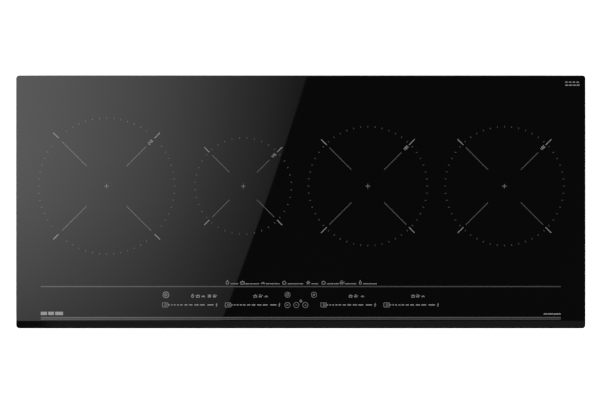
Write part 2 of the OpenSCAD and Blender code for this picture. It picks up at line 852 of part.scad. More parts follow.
// Hinged cover in the floor opening, with two snap tongues
module terminal_cover() color([0.14, 0.14, 0.15]) {
    translate([cover_x0, hinge_y - 0.6, floor_out + 0.3])
        cube([cover_x1 - cover_x0, 54.9, 1.7]);
    for (x = [cover_x0 + 4, 94, cover_x1 - 16]) {
        translate([x, hinge_y, hinge_z]) rotate([0, 90, 0]) cylinder(r = 1.7, h = 12);
        translate([x, hinge_y - 0.6, floor_out + 1.9]) cube([12, 1.6, 1.4]);
    }
    translate([box_x0 + 0.2, hinge_y, hinge_z]) rotate([0, 90, 0])
        cylinder(r = hinge_pin_r, h = box_x1 - box_x0 - 0.4);
    for (x = [74, 120])
        translate([x, hinge_y + 52.6, floor_out + 1.9]) {
            cube([7, 1.2, 6]);
            translate([0, 1.1, 4]) cube([7, 0.6, 1.4]);
        }
    for (k = [0:3])
        translate([cover_x0 + 12, hinge_y + 12 + k * 10, floor_out + 1.9])
            cube([cover_x1 - cover_x0 - 24, 1.2, 1]);
}

module inlet_grommet() color([0.08, 0.08, 0.08])
    translate([inlet_x, tray_d / 2, inlet_z]) rotate([90, 0, 0]) difference() {
        union() {
            translate([0, 0, -1.5]) cylinder(r = 10.3, h = 1.5);
            translate([0, 0, -eps]) cylinder(r = grommet_r, h = 2.8 + 2 * eps);
            translate([0, 0, 2.8]) cylinder(r = 10.3, h = 1.5);
        }
        translate([0, 0, -2]) cylinder(r = inlet_r, h = 8);
    }

// ---------------------------------------------------------------------- wires

// Wires held between the terminals, the boards, the blowers and the touch unit
module wiring() color([0.5, 0.2, 0.2]) {
    plug = board_top + 8.05;
    for (k = [0:2])
        wire([[76 + k * 12, 122.9, -32], [76 + k * 12, 108, -32],
              [62 + k * 8, 104 - k * 4, -29], [36 + k * 4, 101 - k * 4.5, -28],
              [-8 + k * 8, 101 - k * 4.5, -28], [-8 + k * 8, 92, -28],
              [-8 + k * 8, 92, plug + 1]], 1.4);
    wire([[-111, 74, plug], [-111, 74, -29], [-138, 74, -27], [-165, 74, -29],
          [-165, 74, plug]], 1.5);
    wire([[31, 64, plug], [31, 64, -29], [60, 66, -27], [130, 72, -27],
          [165, 74, -29], [165, 74, plug]], 1.5);
    for (s = [-1, 1]) {
        wire([[s * touch_plug_x, touch_y + 17, touch_board_z - 3.05],
              [s * touch_plug_x, touch_y + 17, -16], [s * 189, -119, -27],
              [s * 184, -95, -32], [s * 172, -60, -31], [s * 165, -40, -29],
              [s * 165, -36, -30], [s * 165, -36, plug]], 1.6);
        wire([[-s * blower_x - s * (scroll_r + 0.1), blower_y, -36], [s * 283, -108, -36],
              [s * 262, -84, -39], [s * 245, -62, -38], [s * 234, -46, -32],
              [s * 234, -40, -32], [s * 234, -40, board_top + 6.05]], 1.1, 2, 6);
    }
}

// ------------------------------------------------------------------- assembly

glass_panel();
silicone_bond();
worktop_seal();
glass_frame();
base_tray();
side_screws();
coil_plate(0, "left");  // coil_plate_left
coil_plate(2, "right");  // coil_plate_right
plate_pillars();
inner_screws();
blower_motors();
board_trays();
power_board("left");  // power_board_left
power_board("right");  // power_board_right
heatsinks();
power_switches();
capacitors();
chokes();
filter_board();
touch_carrier();
touch_board();
touch_springs();
displays();
terminal_box();
terminal_block();
terminal_cover();
inlet_grommet();
wiring();
for (i = [0:3]) {
    name = str("coil_", i + 1, "_");
    coil_carrier(i);
    coil_winding(i);
    coil_ferrites(i);
    coil_mica(i);
    coil_sensor(i);
    coil_springs(i);
}
for (s = SIDES) {
    blower_housing(s);
    blower_rotor(s);
    for (e = [0, 1])
        clip(s, e);
}
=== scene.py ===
"""Looks of a built-in induction hob: a black glass plate over a steel casing."""
import math
import random

import bmesh
import bpy
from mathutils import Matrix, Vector


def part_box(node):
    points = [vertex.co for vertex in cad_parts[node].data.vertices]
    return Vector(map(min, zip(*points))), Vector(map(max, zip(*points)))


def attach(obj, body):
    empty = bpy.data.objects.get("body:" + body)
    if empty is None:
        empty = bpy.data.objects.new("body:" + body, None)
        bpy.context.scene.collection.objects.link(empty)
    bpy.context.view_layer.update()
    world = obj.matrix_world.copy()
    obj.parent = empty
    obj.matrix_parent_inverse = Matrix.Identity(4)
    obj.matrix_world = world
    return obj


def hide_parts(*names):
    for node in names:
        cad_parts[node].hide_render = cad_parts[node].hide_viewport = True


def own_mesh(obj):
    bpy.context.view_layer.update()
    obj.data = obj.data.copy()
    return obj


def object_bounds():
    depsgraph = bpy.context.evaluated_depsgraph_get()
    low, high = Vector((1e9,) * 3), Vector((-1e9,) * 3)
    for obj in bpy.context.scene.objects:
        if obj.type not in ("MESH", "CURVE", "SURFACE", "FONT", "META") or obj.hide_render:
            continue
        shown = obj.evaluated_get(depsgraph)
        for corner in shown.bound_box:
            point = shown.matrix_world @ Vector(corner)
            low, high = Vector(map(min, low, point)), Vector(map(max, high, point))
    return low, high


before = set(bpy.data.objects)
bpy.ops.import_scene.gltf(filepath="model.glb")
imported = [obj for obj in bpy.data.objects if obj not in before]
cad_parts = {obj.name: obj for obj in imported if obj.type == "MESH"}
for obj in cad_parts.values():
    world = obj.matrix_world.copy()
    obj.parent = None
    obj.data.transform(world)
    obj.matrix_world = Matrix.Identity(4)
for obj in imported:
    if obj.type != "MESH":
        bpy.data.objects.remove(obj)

cad_lo, cad_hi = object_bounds()
MM = 0.001


def mm_box(node):
    """Lowest and highest corner of a CAD node, in millimetres."""
    lo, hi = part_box(node)
    return Vector(lo) / MM, Vector(hi) / MM


glass_lo, glass_hi = mm_box("glass_panel")
TOP = glass_hi.z
INK0, INK1 = TOP - 0.01, TOP + 0.05

# ---------- node materials

def grey(v):
    return (v, v, v, 1.0)


class Look:
    """Short ways to build the nodes of a material or of the world."""

    def __init__(self, owner, shader="Principled BSDF", **values):
        owner.use_nodes = True
        self.owner = owner
        self.nodes, self.links = owner.node_tree.nodes, owner.node_tree.links
        self.shader = self.nodes[shader]
        self.set(self.shader, values)

    def set(self, node, values):
        """Names with a capital are sockets, set or linked. The others are settings."""
        for name, value in values.items():
            if not name[0].isupper():
                setattr(node, name, value)
            elif isinstance(value, bpy.types.NodeSocket):
                self.links.new(value, node.inputs[name.replace("_", " ")])
            else:
                node.inputs[name.replace("_", " ")].default_value = value

    def add(self, kind, **values):
        node = self.nodes.new("ShaderNode" + kind)
        self.set(node, values)
        return node

    def coords(self, scale=(1, 1, 1), space="Object"):
        place = self.add("TexCoord").outputs[space]
        return self.add("Mapping", Vector=place, Scale=scale).outputs["Vector"]

    def noise(self, vector, scale, detail=4.0, roughness=0.55):
        return self.add("TexNoise", Vector=vector, Scale=scale, Detail=detail,
                        Roughness=roughness).outputs["Fac"]

    def ramp(self, factor, stops):
        """A colour ramp. A stop's colour is a grey level or three numbers."""
        node = self.add("ValToRGB", Fac=factor)
        points = node.color_ramp.elements
        while len(points) < len(stops):
            points.new(0.5)
        for point, (place, colour) in zip(points, stops):
            level = isinstance(colour, (int, float))
            point.position, point.color = place, grey(colour) if level else (*colour, 1.0)
        return node.outputs["Color"]

    def drive(self, socket, factor, stops):
        self.links.new(self.ramp(factor, stops), self.shader.inputs[socket])

    def vary(self, socket, factor, low, high):
        self.drive(socket, factor, [(0.3, low), (0.7, high)])

    def bump(self, height, strength, distance):
        node = self.add("Bump", Height=height, Strength=strength, Distance=distance)
        self.links.new(node.outputs["Normal"], self.shader.inputs["Normal"])

    def mix(self, kind, a, b, factor, **values):
        """Mixes two sockets. A Mix node has its sockets once for each kind of data."""
        node = self.add("Mix", data_type=kind, Factor=factor, **values)
        in_a, in_b, out = {"VECTOR": (4, 5, 1), "RGBA": (6, 7, 2)}[kind]
        self.links.new(a, node.inputs[in_a])
        self.links.new(b, node.inputs[in_b])
        return node.outputs[out]

    def show(self, socket):
        self.links.new(socket, self.nodes["Material Output"].inputs["Surface"])


def surface(name, **values):
    return Look(bpy.data.materials.new(name), **values)


def plain(name, dark, light, rough=(0.35, 0.5), metallic=0.0, scale=400.0,
          stretch=(1, 1, 1), relief=0.1, depth=0.0001):
    """A surface whose colour, roughness and height all vary with one grain."""
    m = surface(name, Metallic=metallic, IOR=1.5)
    v = m.coords(stretch)
    fine = m.noise(v, scale, 6.0)
    m.vary("Base Color", m.noise(v, scale * 0.04, 3.0), dark, light)
    m.vary("Roughness", fine, *rough)
    m.bump(fine, relief, depth)
    return m.owner


def glass_ceramic(name, rough, base):
    """Black glass-ceramic: nearly no body colour, and a mirror-like face with haze."""
    m = surface(name, IOR=1.52)
    v = m.coords()
    m.drive("Roughness", m.noise(v, 9.0, 3.0), [(0.35, rough[0]), (0.7, rough[1])])
    m.vary("Base Color", m.noise(v, 3.0, 2.0), [b * 0.9 for b in base],
           [b * 1.1 for b in base])
    return m.owner


def enamel(name, value):
    """Fired ceramic print: grey and slightly grainy, with a brighter gloss than glass."""
    m = surface(name, IOR=1.82)
    grain = m.noise(m.coords(), 2600.0, 3.0)
    m.vary("Base Color", grain, value * 0.88, value * 1.12)
    m.vary("Roughness", grain, 0.16, 0.26)
    return m.owner


def galvanised(name):
    """Zinc-coated sheet: large pale crystals with faint edges, and rolling marks."""
    m = surface(name, Metallic=1.0)
    v = m.coords()
    wander = m.add("TexNoise", Vector=v, Scale=90.0).outputs["Color"]
    cells = m.add("TexVoronoi", Vector=m.mix("VECTOR", v, wander, 0.012), Scale=230.0,
                  Randomness=1.0)
    part = m.add("SeparateColor", Color=cells.outputs["Color"])
    m.drive("Base Color", part.outputs["Red"], [
        (0.0, (0.47, 0.485, 0.5)), (0.5, (0.53, 0.54, 0.55)), (1.0, (0.6, 0.61, 0.615))])
    m.drive("Roughness", part.outputs["Green"], [(0.0, 0.34), (1.0, 0.44)])
    m.bump(m.noise(m.coords((0.06, 1, 1)), 900.0), 0.12, 0.00005)
    return m.owner


def brushed(name, dark, light, stretch, rough=(0.25, 0.42)):
    """Drawn or brushed metal: fine parallel lines along the short scale of stretch."""
    m = surface(name, Metallic=1.0)
    lines = m.noise(m.coords(stretch), 1500.0, 5.0, 0.7)
    m.vary("Base Color", lines, dark, light)
    m.vary("Roughness", lines, *rough)
    m.bump(lines, 0.15, 0.00003)
    return m.owner


def circuit(name):
    """Solder mask over copper: raised tracks, paler where copper lies under it."""
    m = surface(name)
    v = m.coords()
    cells = m.add("TexVoronoi", feature="F2", distance="CHEBYCHEV", Vector=v, Scale=130.0)
    many = m.add("Math", operation="MULTIPLY", Value=cells.outputs["Distance"])
    many.inputs[1].default_value = 5.0
    across = m.add("Math", operation="FRACT", Value=many.outputs["Value"]).outputs["Value"]
    bare, covered, crest = (0.01, 0.06, 0.028), (0.022, 0.125, 0.055), (0.026, 0.14, 0.062)
    m.drive("Base Color", across,
            [(0.42, bare), (0.5, covered), (0.86, crest), (0.94, bare)])
    m.vary("Roughness", m.noise(v, 500.0), 0.22, 0.36)
    m.bump(m.ramp(across, [(0.42, 0), (0.5, 1), (0.86, 1), (0.94, 0)]), 0.35, 0.00006)
    return m.owner


def litz(name, dark, light):
    """Twisted enamelled strands, laid along the tube's own UV map, with painted shade
    darkening the grooves between them.
    """
    m = surface(name, Metallic=0.85)
    wave = m.add("TexWave", wave_type="BANDS", bands_direction="DIAGONAL",
                 Vector=m.coords((9.0, 9.0, 1), "UV"), Scale=0.62, Distortion=0.4)
    strands = wave.outputs["Fac"]
    # painted shade: each strand's colour turns dark towards the grooves beside it, where the
    # bump is lowest
    m.drive("Base Color", strands, [(0.0, dark), (0.6, light)])
    m.drive("Roughness", strands, [(0.0, 0.5), (1.0, 0.28)])
    m.bump(strands, 0.5, 0.0002)
    return m.owner


M = {
    "glass": glass_ceramic("black_glass", (0.012, 0.03), (0.00095, 0.00095, 0.00105)),
    "ground": glass_ceramic("polished_glass_edge", (0.05, 0.085), (0.0012, 0.0012, 0.0013)),
    "line_dark": enamel("enamel_dark_grey", 0.057),
    "line_mid": enamel("enamel_mid_grey", 0.103),
    "arm": enamel("enamel_arm_grey", 0.1),
    "tick": enamel("enamel_light_grey", 0.29),
    "icon": enamel("enamel_icon_grey", 0.28),
    "foam": plain("foam", 0.012, 0.03, (0.85, 0.95), scale=1600, relief=0.8, depth=0.0003),
    "silicone": plain("silicone", (0.02, 0.02, 0.022), (0.03, 0.03, 0.032), (0.4, 0.55)),
    "sheet": galvanised("galvanised_sheet"),
    "zinc": plain("zinc_plate", (0.5, 0.51, 0.53), 0.66, (0.22, 0.36), 1.0, scale=900,
                  relief=0.05),
    "spring": brushed("spring_steel", (0.28, 0.29, 0.31), (0.46, 0.47, 0.5), (1, 0.05, 1)),
    "aluminium": brushed("aluminium_sheet", (0.58, 0.59, 0.6), (0.78, 0.78, 0.79),
                         (0.04, 1, 1)),
    "extrusion": brushed("aluminium_extrusion", (0.55, 0.56, 0.57), (0.8, 0.8, 0.81),
                         (1, 0.03, 1), (0.3, 0.5)),
    "motor": plain("motor_laminations", (0.06, 0.06, 0.065), (0.16, 0.15, 0.15),
                   (0.35, 0.5), 0.8, scale=1200, stretch=(1, 1, 12), relief=0.3),
    "pale": plain("pale_moulding", (0.5, 0.49, 0.45), (0.62, 0.61, 0.57), (0.42, 0.55),
                  relief=0.12),
    "dark": plain("black_moulding", (0.012, 0.012, 0.013), (0.022, 0.022, 0.024),
                  (0.4, 0.56), scale=1400, relief=0.25),
    "epoxy": plain("black_epoxy", (0.01, 0.01, 0.011), (0.018, 0.018, 0.02), (0.3, 0.42),
                   scale=1800),
    "film": plain("film_capacitor", (0.5, 0.3, 0.03), (0.62, 0.4, 0.05), (0.25, 0.35),
                  relief=0.05),
    "can": brushed("capacitor_can", (0.5, 0.5, 0.52), (0.7, 0.7, 0.72), (1, 1, 0.05)),
    "board": circuit("solder_mask"),
    "copper": litz("litz_copper", (0.16, 0.05, 0.02), (0.62, 0.27, 0.12)),
    "enamel_wire": plain("enamelled_wire", (0.42, 0.15, 0.05), (0.6, 0.25, 0.09),
                         (0.2, 0.32), 0.85, scale=900, relief=0.05),
    "ferrite": plain("sintered_ferrite", (0.035, 0.035, 0.037), (0.06, 0.06, 0.062),
                     (0.5, 0.7), scale=2200, relief=0.35),
    "mica": plain("mica_sheet", (0.36, 0.31, 0.2), (0.52, 0.47, 0.34), (0.3, 0.5), 0.15,
                  scale=700, relief=0.2),
    "white_rubber": plain("white_silicone", (0.62, 0.62, 0.6), (0.7, 0.7, 0.68),
                          (0.5, 0.6)),
    "rubber": plain("black_rubber", 0.012, 0.02, (0.6, 0.75), scale=1200, relief=0.3),
    "brass": plain("tinned_brass", (0.5, 0.42, 0.24), (0.66, 0.56, 0.34), (0.22, 0.34), 1.0,
                   relief=0.05),
    "label": plain("blank_foil_label", 0.6, 0.7, (0.28, 0.36), 0.6, relief=0.03),
}
for key, tint in {"brown": (0.16, 0.05, 0.015), "blue": (0.02, 0.07, 0.3),
                  "black": (0.012, 0.012, 0.012), "red": (0.35, 0.02, 0.015),
                  "white": (0.6, 0.6, 0.58), "grey": (0.16, 0.16, 0.17)}.items():
    M["wire_" + key] = plain("wire_" + key, [c * 0.85 for c in tint], tint, (0.38, 0.5),
                             scale=700, relief=0.08)


# ---------- mesh building

def new_object(name, data):
    obj = bpy.data.objects.new(name, data)
    bpy.context.scene.collection.objects.link(obj)
    return obj


def polar(c, r, a):
    return (c[0] + r * math.cos(math.radians(a)), c[1] + r * math.sin(math.radians(a)))


def circle(c, r, n):
    return [polar(c, r, 360 * i / n) for i in range(n)]


class Shape:
    """Gathers closed forms in millimetres, then makes one object of them in metres."""

    def __init__(self):
        self.verts, self.faces, self.slots, self.uvs = [], [], [], {}

    def add(self, verts, faces, slot=0, uvs=None):
        """Adds one closed form. Points in the same place become one."""
        seen, index = {}, []
        for v in verts:
            spot = tuple(round(c, 5) for c in v)
            if spot not in seen:
                seen[spot] = len(self.verts)
                self.verts.append(tuple(v))
            index.append(seen[spot])
        for i, f in enumerate(faces):
            loop, uv = [], []
            for j, k in enumerate(f):
                if index[k] not in loop:
                    loop.append(index[k])
                    uv.append(uvs[i][j] if uvs else (0, 0))
            if len(loop) > 2:
                if uvs:
                    self.uvs[len(self.faces)] = uv
                self.faces.append(loop)
                self.slots.append(slot)

    def prism(self, outline, z0, z1, slot=0):
        n = len(outline)
        verts = [(x, y, z) for z in (z0, z1) for x, y in outline]
        faces = [list(range(n))[::-1], list(range(n, 2 * n))]
        faces += [[i, (i + 1) % n, n + (i + 1) % n, n + i] for i in range(n)]
        self.add(verts, faces, slot)

    def box(self, lo, hi, slot=0):
        self.prism([(lo[0], lo[1]), (hi[0], lo[1]), (hi[0], hi[1]), (lo[0], hi[1])],
                   lo[2], hi[2], slot)

    def stroke(self, pts, width, closed=False, slot=0):
        """A printed line of even width along pts, with mitred corners."""
        n = len(pts)
        left, right = [], []
        for i in range(n):
            a = Vector(pts[i - 1] if closed or i else pts[0])
            b = Vector(pts[i])
            c = Vector(pts[(i + 1) % n] if closed or i < n - 1 else pts[-1])
            d1 = (b - a).normalized() if (b - a).length else (c - b).normalized()
            d2 = (c - b).normalized() if (c - b).length else d1
            t = (d1 + d2).normalized() if (d1 + d2).length > 1e-6 else d1
            side = Vector((-t.y, t.x))
            cosine = max(0.5, side.dot(Vector((-d1.y, d1.x))))
            left.append(b + side * width / 2 / cosine)
            right.append(b - side * width / 2 / cosine)
        verts = [(p.x, p.y, z) for z in (INK0, INK1) for p in left + right]
        faces = []
        for i in range(n if closed else n - 1):
            j = (i + 1) % n
            faces += [[i, j, n + j, n + i], [2 * n + i, 3 * n + i, 3 * n + j, 2 * n + j],
                      [i, 2 * n + i, 2 * n + j, j], [n + i, n + j, 3 * n + j, 3 * n + i]]
        if not closed:
            e = n - 1
            faces += [[0, n, 3 * n, 2 * n], [e, 2 * n + e, 3 * n + e, n + e]]
        self.add(verts, faces, slot)

    def revolve(self, profile, c, n, slot=0, closed=True):
        """profile is (radius, height) round a closed loop, or from axis to axis."""
        m = len(profile)
        verts = [(c[0] + r * math.cos(2 * math.pi * i / n),
                  c[1] + r * math.sin(2 * math.pi * i / n), c[2] + z)
                 for i in range(n) for r, z in profile]
        faces = []
        for i in range(n):
            j = (i + 1) % n
            for k in range(m if closed else m - 1):
                q = (k + 1) % m
                faces.append([i * m + k, j * m + k, j * m + q, i * m + q])
        self.add(verts, faces, slot)

    def tube(self, path, r, sides=10, slot=0, closed=False, uv_pitch=0.0):
        """A round tube along path, its rings carried along without twisting."""
        pts = [Vector(p) for p in path]
        n = len(pts)
        t0 = (pts[1] - pts[0]).normalized()
        u = t0.orthogonal().normalized()
        verts, along, last = [], [0.0], t0
        for i in range(n):
            t = (pts[(i + 1) % n if closed else min(i + 1, n - 1)]
                 - pts[i - 1 if closed or i else 0]).normalized()
            u = (last.rotation_difference(t) @ u).normalized()
            last, w = t, t.cross(u)
            if i:
                along.append(along[-1] + (pts[i] - pts[i - 1]).length)
            verts += [pts[i] + r * (math.cos(a) * u + math.sin(a) * w)
                      for a in (2 * math.pi * k / sides for k in range(sides))]
        faces, uvs = [], []
        for i in range(n if closed else n - 1):
            j = (i + 1) % n * sides
            s0, s1 = (along[q] / (uv_pitch or 1) for q in (i, min(i + 1, n - 1)))
            for k in range(sides):
                a, b = i * sides + k, i * sides + (k + 1) % sides
                faces.append([a, b, j + (k + 1) % sides, j + k])
                v0, v1 = k / sides, (k + 1) / sides
                uvs.append([(s0, v0), (s0, v1), (s1, v1), (s1, v0)])
        if not closed:
            faces += [list(range(sides))[::-1],
                      [(n - 1) * sides + k for k in range(sides)]]
            uvs += [[(0, 0)] * sides] * 2
        self.add(verts, faces, slot, uvs if uv_pitch else None)

    def make(self, name, mats, body, replaces=(), smooth=35.0, bevel=0.0):
        mesh = bpy.data.meshes.new(name)
        mesh.from_pydata([(x * MM, y * MM, z * MM) for x, y, z in self.verts], [],
                         self.faces)
        if self.uvs:
            layer = mesh.uv_layers.new(name="UVMap")
            for p in mesh.polygons:
                spots = self.uvs.get(p.index, [(0, 0)] * p.loop_total)
                for loop, spot in zip(p.loop_indices, spots):
                    layer.data[loop].uv = spot
        for p in mesh.polygons:
            p.material_index = self.slots[p.index]
        for key in mats:
            mesh.materials.append(M[key])
        bm = bmesh.new()
        bm.from_mesh(mesh)
        bmesh.ops.recalc_face_normals(bm, faces=bm.faces)
        bm.to_mesh(mesh)
        bm.free()
        mesh.shade_smooth()
        mesh.set_sharp_from_angle(angle=math.radians(smooth))
        obj = new_object(name, mesh)
        if bevel:
            soften(obj, bevel)
        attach(obj, body)
        if replaces:
            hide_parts(*replaces)
        return obj


def soften(obj, width, angle=40.0):
    """Rounds the hard edges of an object a little, as a mould or a press does."""
    b = obj.modifiers.new("edges", "BEVEL")
    b.width = width * MM
    b.segments = 2
    b.limit_method = "ANGLE"
    b.angle_limit = math.radians(angle)
    b.harden_normals = True


def arc(c, r, a0, a1, n=12):
    return [polar(c, r, a0 + (a1 - a0) * i / n) for i in range(n + 1)]


def rounded_rect(x0, y0, x1, y1, r, n=4):
    pts = []
    for cx, cy, a in ((x1 - r, y0 + r, -90), (x1 - r, y1 - r, 0), (x0 + r, y1 - r, 90),
                      (x0 + r, y0 + r, 180)):
        pts += arc((cx, cy), r, a, a + 90, n)
    return pts


def smooth_route(pts, times=3):
    """Cuts a route's corners, keeping its ends."""
    pts = [Vector(p) for p in pts]
    for _ in range(times):
        new = [pts[0]]
        for i in range(len(pts) - 1):
            for f in (0.25, 0.75):
                if (i, f) not in ((0, 0.25), (len(pts) - 2, 0.75)):
                    new.append(pts[i].lerp(pts[i + 1], f))
        pts = new + [pts[-1]]
    return pts


# ---------- glass

FRONT_BEVEL = 12.0
BEVEL_DROP = 2.4
CORNER_R = 5.0
ARRIS = 0.6


def make_glass():
    """The plate: a rounded outline cut by the front bevel and three fine arrises."""
    bm = bmesh.new()
    outline = rounded_rect(glass_lo.x, glass_lo.y, glass_hi.x, glass_hi.y, CORNER_R, 16)
    low = [bm.verts.new((x, y, glass_lo.z)) for x, y in outline]
    high = [bm.verts.new((x, y, glass_hi.z)) for x, y in outline]
    n = len(outline)
    bm.faces.new(low[::-1])
    bm.faces.new(high)
    for i in range(n):
        bm.faces.new((low[i], low[(i + 1) % n], high[(i + 1) % n], high[i]))
    cuts = [((0, glass_lo.y + FRONT_BEVEL, TOP), (0, -BEVEL_DROP / FRONT_BEVEL, 1)),
            ((glass_hi.x - ARRIS, 0, TOP), (1, 0, 1)),
            ((glass_lo.x + ARRIS, 0, TOP), (-1, 0, 1)),
            ((0, glass_hi.y - ARRIS, TOP), (0, 1, 1))]
    for point, normal in cuts:
        out = bmesh.ops.bisect_plane(bm, geom=bm.verts[:] + bm.edges[:] + bm.faces[:],
                                     dist=1e-5, plane_co=point, plane_no=normal,
                                     clear_outer=True)
        edges = [e for e in out["geom_cut"] if isinstance(e, bmesh.types.BMEdge)]
        bmesh.ops.holes_fill(bm, edges=edges)
    bmesh.ops.recalc_face_normals(bm, faces=bm.faces)
    for f in bm.faces:
        f.material_index = 0 if abs(f.normal.z) > 0.9999 else 1
    bmesh.ops.scale(bm, vec=(MM, MM, MM), verts=bm.verts)
    mesh = bpy.data.meshes.new("glass_plate")
    bm.to_mesh(mesh)
    bm.free()
    mesh.materials.append(M["glass"])
    mesh.materials.append(M["ground"])
    mesh.shade_smooth()
    mesh.set_sharp_from_angle(angle=math.radians(8))
    obj = new_object("glass_plate", mesh)
    soften(obj, 0.12, 9.0)
    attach(obj, "casing")
    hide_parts("glass_panel")


make_glass()

# ---------- printed marks

ZONE_Y = 25.0
DIGIT_H = 3.6
DASH_W, DASH_HALF, ARM_W, TICK_W = 0.8, 1.15, 0.9, 1.05
CROSS, CROSS_W = 3.6, 0.56
DIAGONALS = (45, 135, 225, 315)
CLEAR = 3.2   # degrees beside a diagonal that have no dash
# centre x, ring radius, dashes, first dash, thin arm from and to, tick from and to,
# end of the arm beside the number, place of the number, number
ZONES = [
    (-307.0, 107.5, 60, 0.0, 45.0, 99.4, 107.3, 119.4, 87.8, 98.0, "210"),
    (-91.0, 76.2, 40, 4.5, 30.4, 69.4, 75.8, 87.0, 58.6, 68.0, "145"),
    (106.0, 93.9, 52, 90.0, 36.7, 86.1, 92.0, 104.5, 75.1, 85.1, "180"),
    (322.0, 93.9, 52, 90.0, 36.7, 86.1, 92.0, 104.5, 75.1, 85.1, "180"),
]
DIGITS = {
    "0": [[(0, 0), (1, 0), (1, 2), (0, 2), (0, 0)]],
    "1": [[(0.2, 1.6), (0.6, 2), (0.6, 0)]],
    "2": [[(0, 2), (1, 2), (1, 1), (0, 1), (0, 0), (1, 0)]],
    "4": [[(0, 2), (0, 0.9), (1, 0.9)], [(0.8, 2), (0.8, 0)]],
    "5": [[(1, 2), (0, 2), (0, 1), (1, 1), (1, 0), (0, 0)]],
    "8": [[(0, 0), (1, 0), (1, 2), (0, 2), (0, 0)], [(0, 1), (1, 1)]],
}


def number(shape, text, centre, angle):
    """Plain stroked digits, centred and turned by angle."""
    unit, step = DIGIT_H / 2, DIGIT_H * 0.78
    ca, sa = math.cos(math.radians(angle)), math.sin(math.radians(angle))
    for i, ch in enumerate(text):
        x0 = (i - (len(text) - 1) / 2) * step - unit / 2
        for line in DIGITS[ch]:
            pts = []
            for x, y in line:
                px, py = x0 + x * unit, (y - 1) * unit
                pts.append((centre[0] + ca * px - sa * py, centre[1] + sa * px + ca * py))
            shape.stroke(pts, DIGIT_H * 0.19, slot=1)


for i, (zx, ring_r, dashes, first, a0, a1, t0, t1, a1n, rn, text) in enumerate(ZONES, 1):
    p, c = Shape(), (zx, ZONE_Y)
    for k in range(dashes):
        a = first + 360 * k / dashes
        if min(abs((a - b + 180) % 360 - 180) for b in DIAGONALS) > CLEAR:
            p.stroke([polar(c, ring_r + d, a) for d in (-DASH_HALF, DASH_HALF)], DASH_W)
    for a in DIAGONALS:
        end = a1n if a == 45 else a1
        p.stroke([polar(c, a0, a), polar(c, end, a)], ARM_W)
        p.stroke([polar(c, t0, a), polar(c, t1, a)], TICK_W, slot=1)
    p.stroke([(zx - CROSS, ZONE_Y), (zx + CROSS, ZONE_Y)], CROSS_W, slot=1)
    for s in (-1, 1):
        p.stroke([(zx, ZONE_Y + s * d) for d in (CROSS_W / 2, CROSS)], CROSS_W, slot=1)
    number(p, text, polar(c, rn, 45), 45)
    p.make(f"zone_print_{i}", ["arm", "tick"], "casing")

LINE_X = 411.0
rules = Shape()
for y, width, slot in ((-133.8, 1.75, 0), (-182.75, 1.5, 1), (-185.35, 1.95, 0)):
    rules.stroke([(-LINE_X, y), (LINE_X, y)], width, slot=slot)
rules.make("front_rules", ["line_dark", "line_mid"], "casing")


# Small pictures: polylines on a field from -1 to 1 each way, closed where they end at
# their start
ICONS = {
    "power": [arc((0, 0), 0.5, 125, 415), [(0, 0.1), (0, 0.75)]],
    "pot": [[(-0.7, 0.35), (-0.7, -0.6), (0.7, -0.6), (0.7, 0.35), (-0.7, 0.35)],
            [(-1, 0.2), (-0.7, 0.2)], [(0.7, 0.2), (1, 0.2)], [(-0.2, 0.65), (0.2, 0.65)]],
    "pan": [[(-0.9, 0), (-0.75, -0.5), (0.25, -0.5), (0.4, 0), (-0.9, 0)],
            [(0.4, 0), (1, 0.3)], [(-0.6, 0.4), (-0.45, 0.85)],
            [(-0.1, 0.4), (0.05, 0.85)]],
    "melt": [arc((0, -0.1), 0.55, 130, 410), [(-0.36, 0.32), (0, 0.95), (0.36, 0.32)]],
    "grill": [[(-0.8, y), (0.8, y)] for y in (-0.5, 0, 0.5)],
    "drop": [[(0, 0.9), (-0.5, -0.1), (-0.3, -0.6), (0.3, -0.6), (0.5, -0.1), (0, 0.9)]],
    "flat": [[(-0.9, -0.35), (0.9, -0.35)], [(-0.5, 0.05), (0.5, 0.05)]],
    "star": [[(-0.8, 0), (0.8, 0)], [(-0.4, 0.7), (0.4, -0.7)], [(0.4, 0.7), (-0.4, -0.7)]],
    "steam": [[(-0.7, 0), (-0.55, -0.6), (0.55, -0.6), (0.7, 0)],
              [(-0.8, 0.1), (0, 0.7), (0.8, 0.1)]],
    "timer": [circle((0, 0), 0.55, 20) + [(0.55, 0)], [(0, 0.3), (0, 0), (0.25, 0)]],
    "grid": [[(-0.5, 0.2), (0.5, 0.2)], [(-0.5, -0.2), (0.5, -0.2)],
             [(-0.2, 0.5), (-0.2, -0.5)], [(0.2, 0.5), (0.2, -0.5)]],
    "pause": [[(-0.22, 0.45), (-0.22, -0.45)], [(0.22, 0.45), (0.22, -0.45)]],
    "minus": [[(-0.4, 0), (0.4, 0)]],
    "plus": [[(-0.4, 0), (0.4, 0)], [(0, -0.4), (0, 0.4)]],
    "lock": [[(0, 0.9), (-0.9, 0), (0, -0.9), (0.9, 0), (0, 0.9)], [(0, 0.3), (0, -0.3)]],
    "bolt": [[(0.25, 1), (-0.25, 0.05), (0.25, 0.05), (-0.25, -1)]],
}


def icon(shape, name, c, size, width):
    for line in ICONS[name]:
        pts = [(c[0] + x * size / 2, c[1] + y * size / 2) for x, y in line]
        closed = (Vector(pts[0]) - Vector(pts[-1])).length < 1e-6
        shape.stroke(pts[:-1] if closed else pts, width, closed)


def key(shape, name, c, r=4.2, width=0.48):
    shape.stroke(circle(c, r, 32), width, True)
    icon(shape, name, c, r * 1.7, width)


def bar_text(shape, x0, x1, y, height, pieces):
    """Short bars that stand for a word."""
    gap = 0.8
    length = (x1 - x0 - gap * (len(pieces) - 1)) / sum(pieces)
    x = x0
    for p in pieces:
        shape.stroke([(x, y), (x + p * length, y)], height)
        x += p * length + gap


KEY_Y, SLIDER_Y, ZONE_ICON_Y, WORD_Y = -146.8, -162.8, -148.8, -129.4
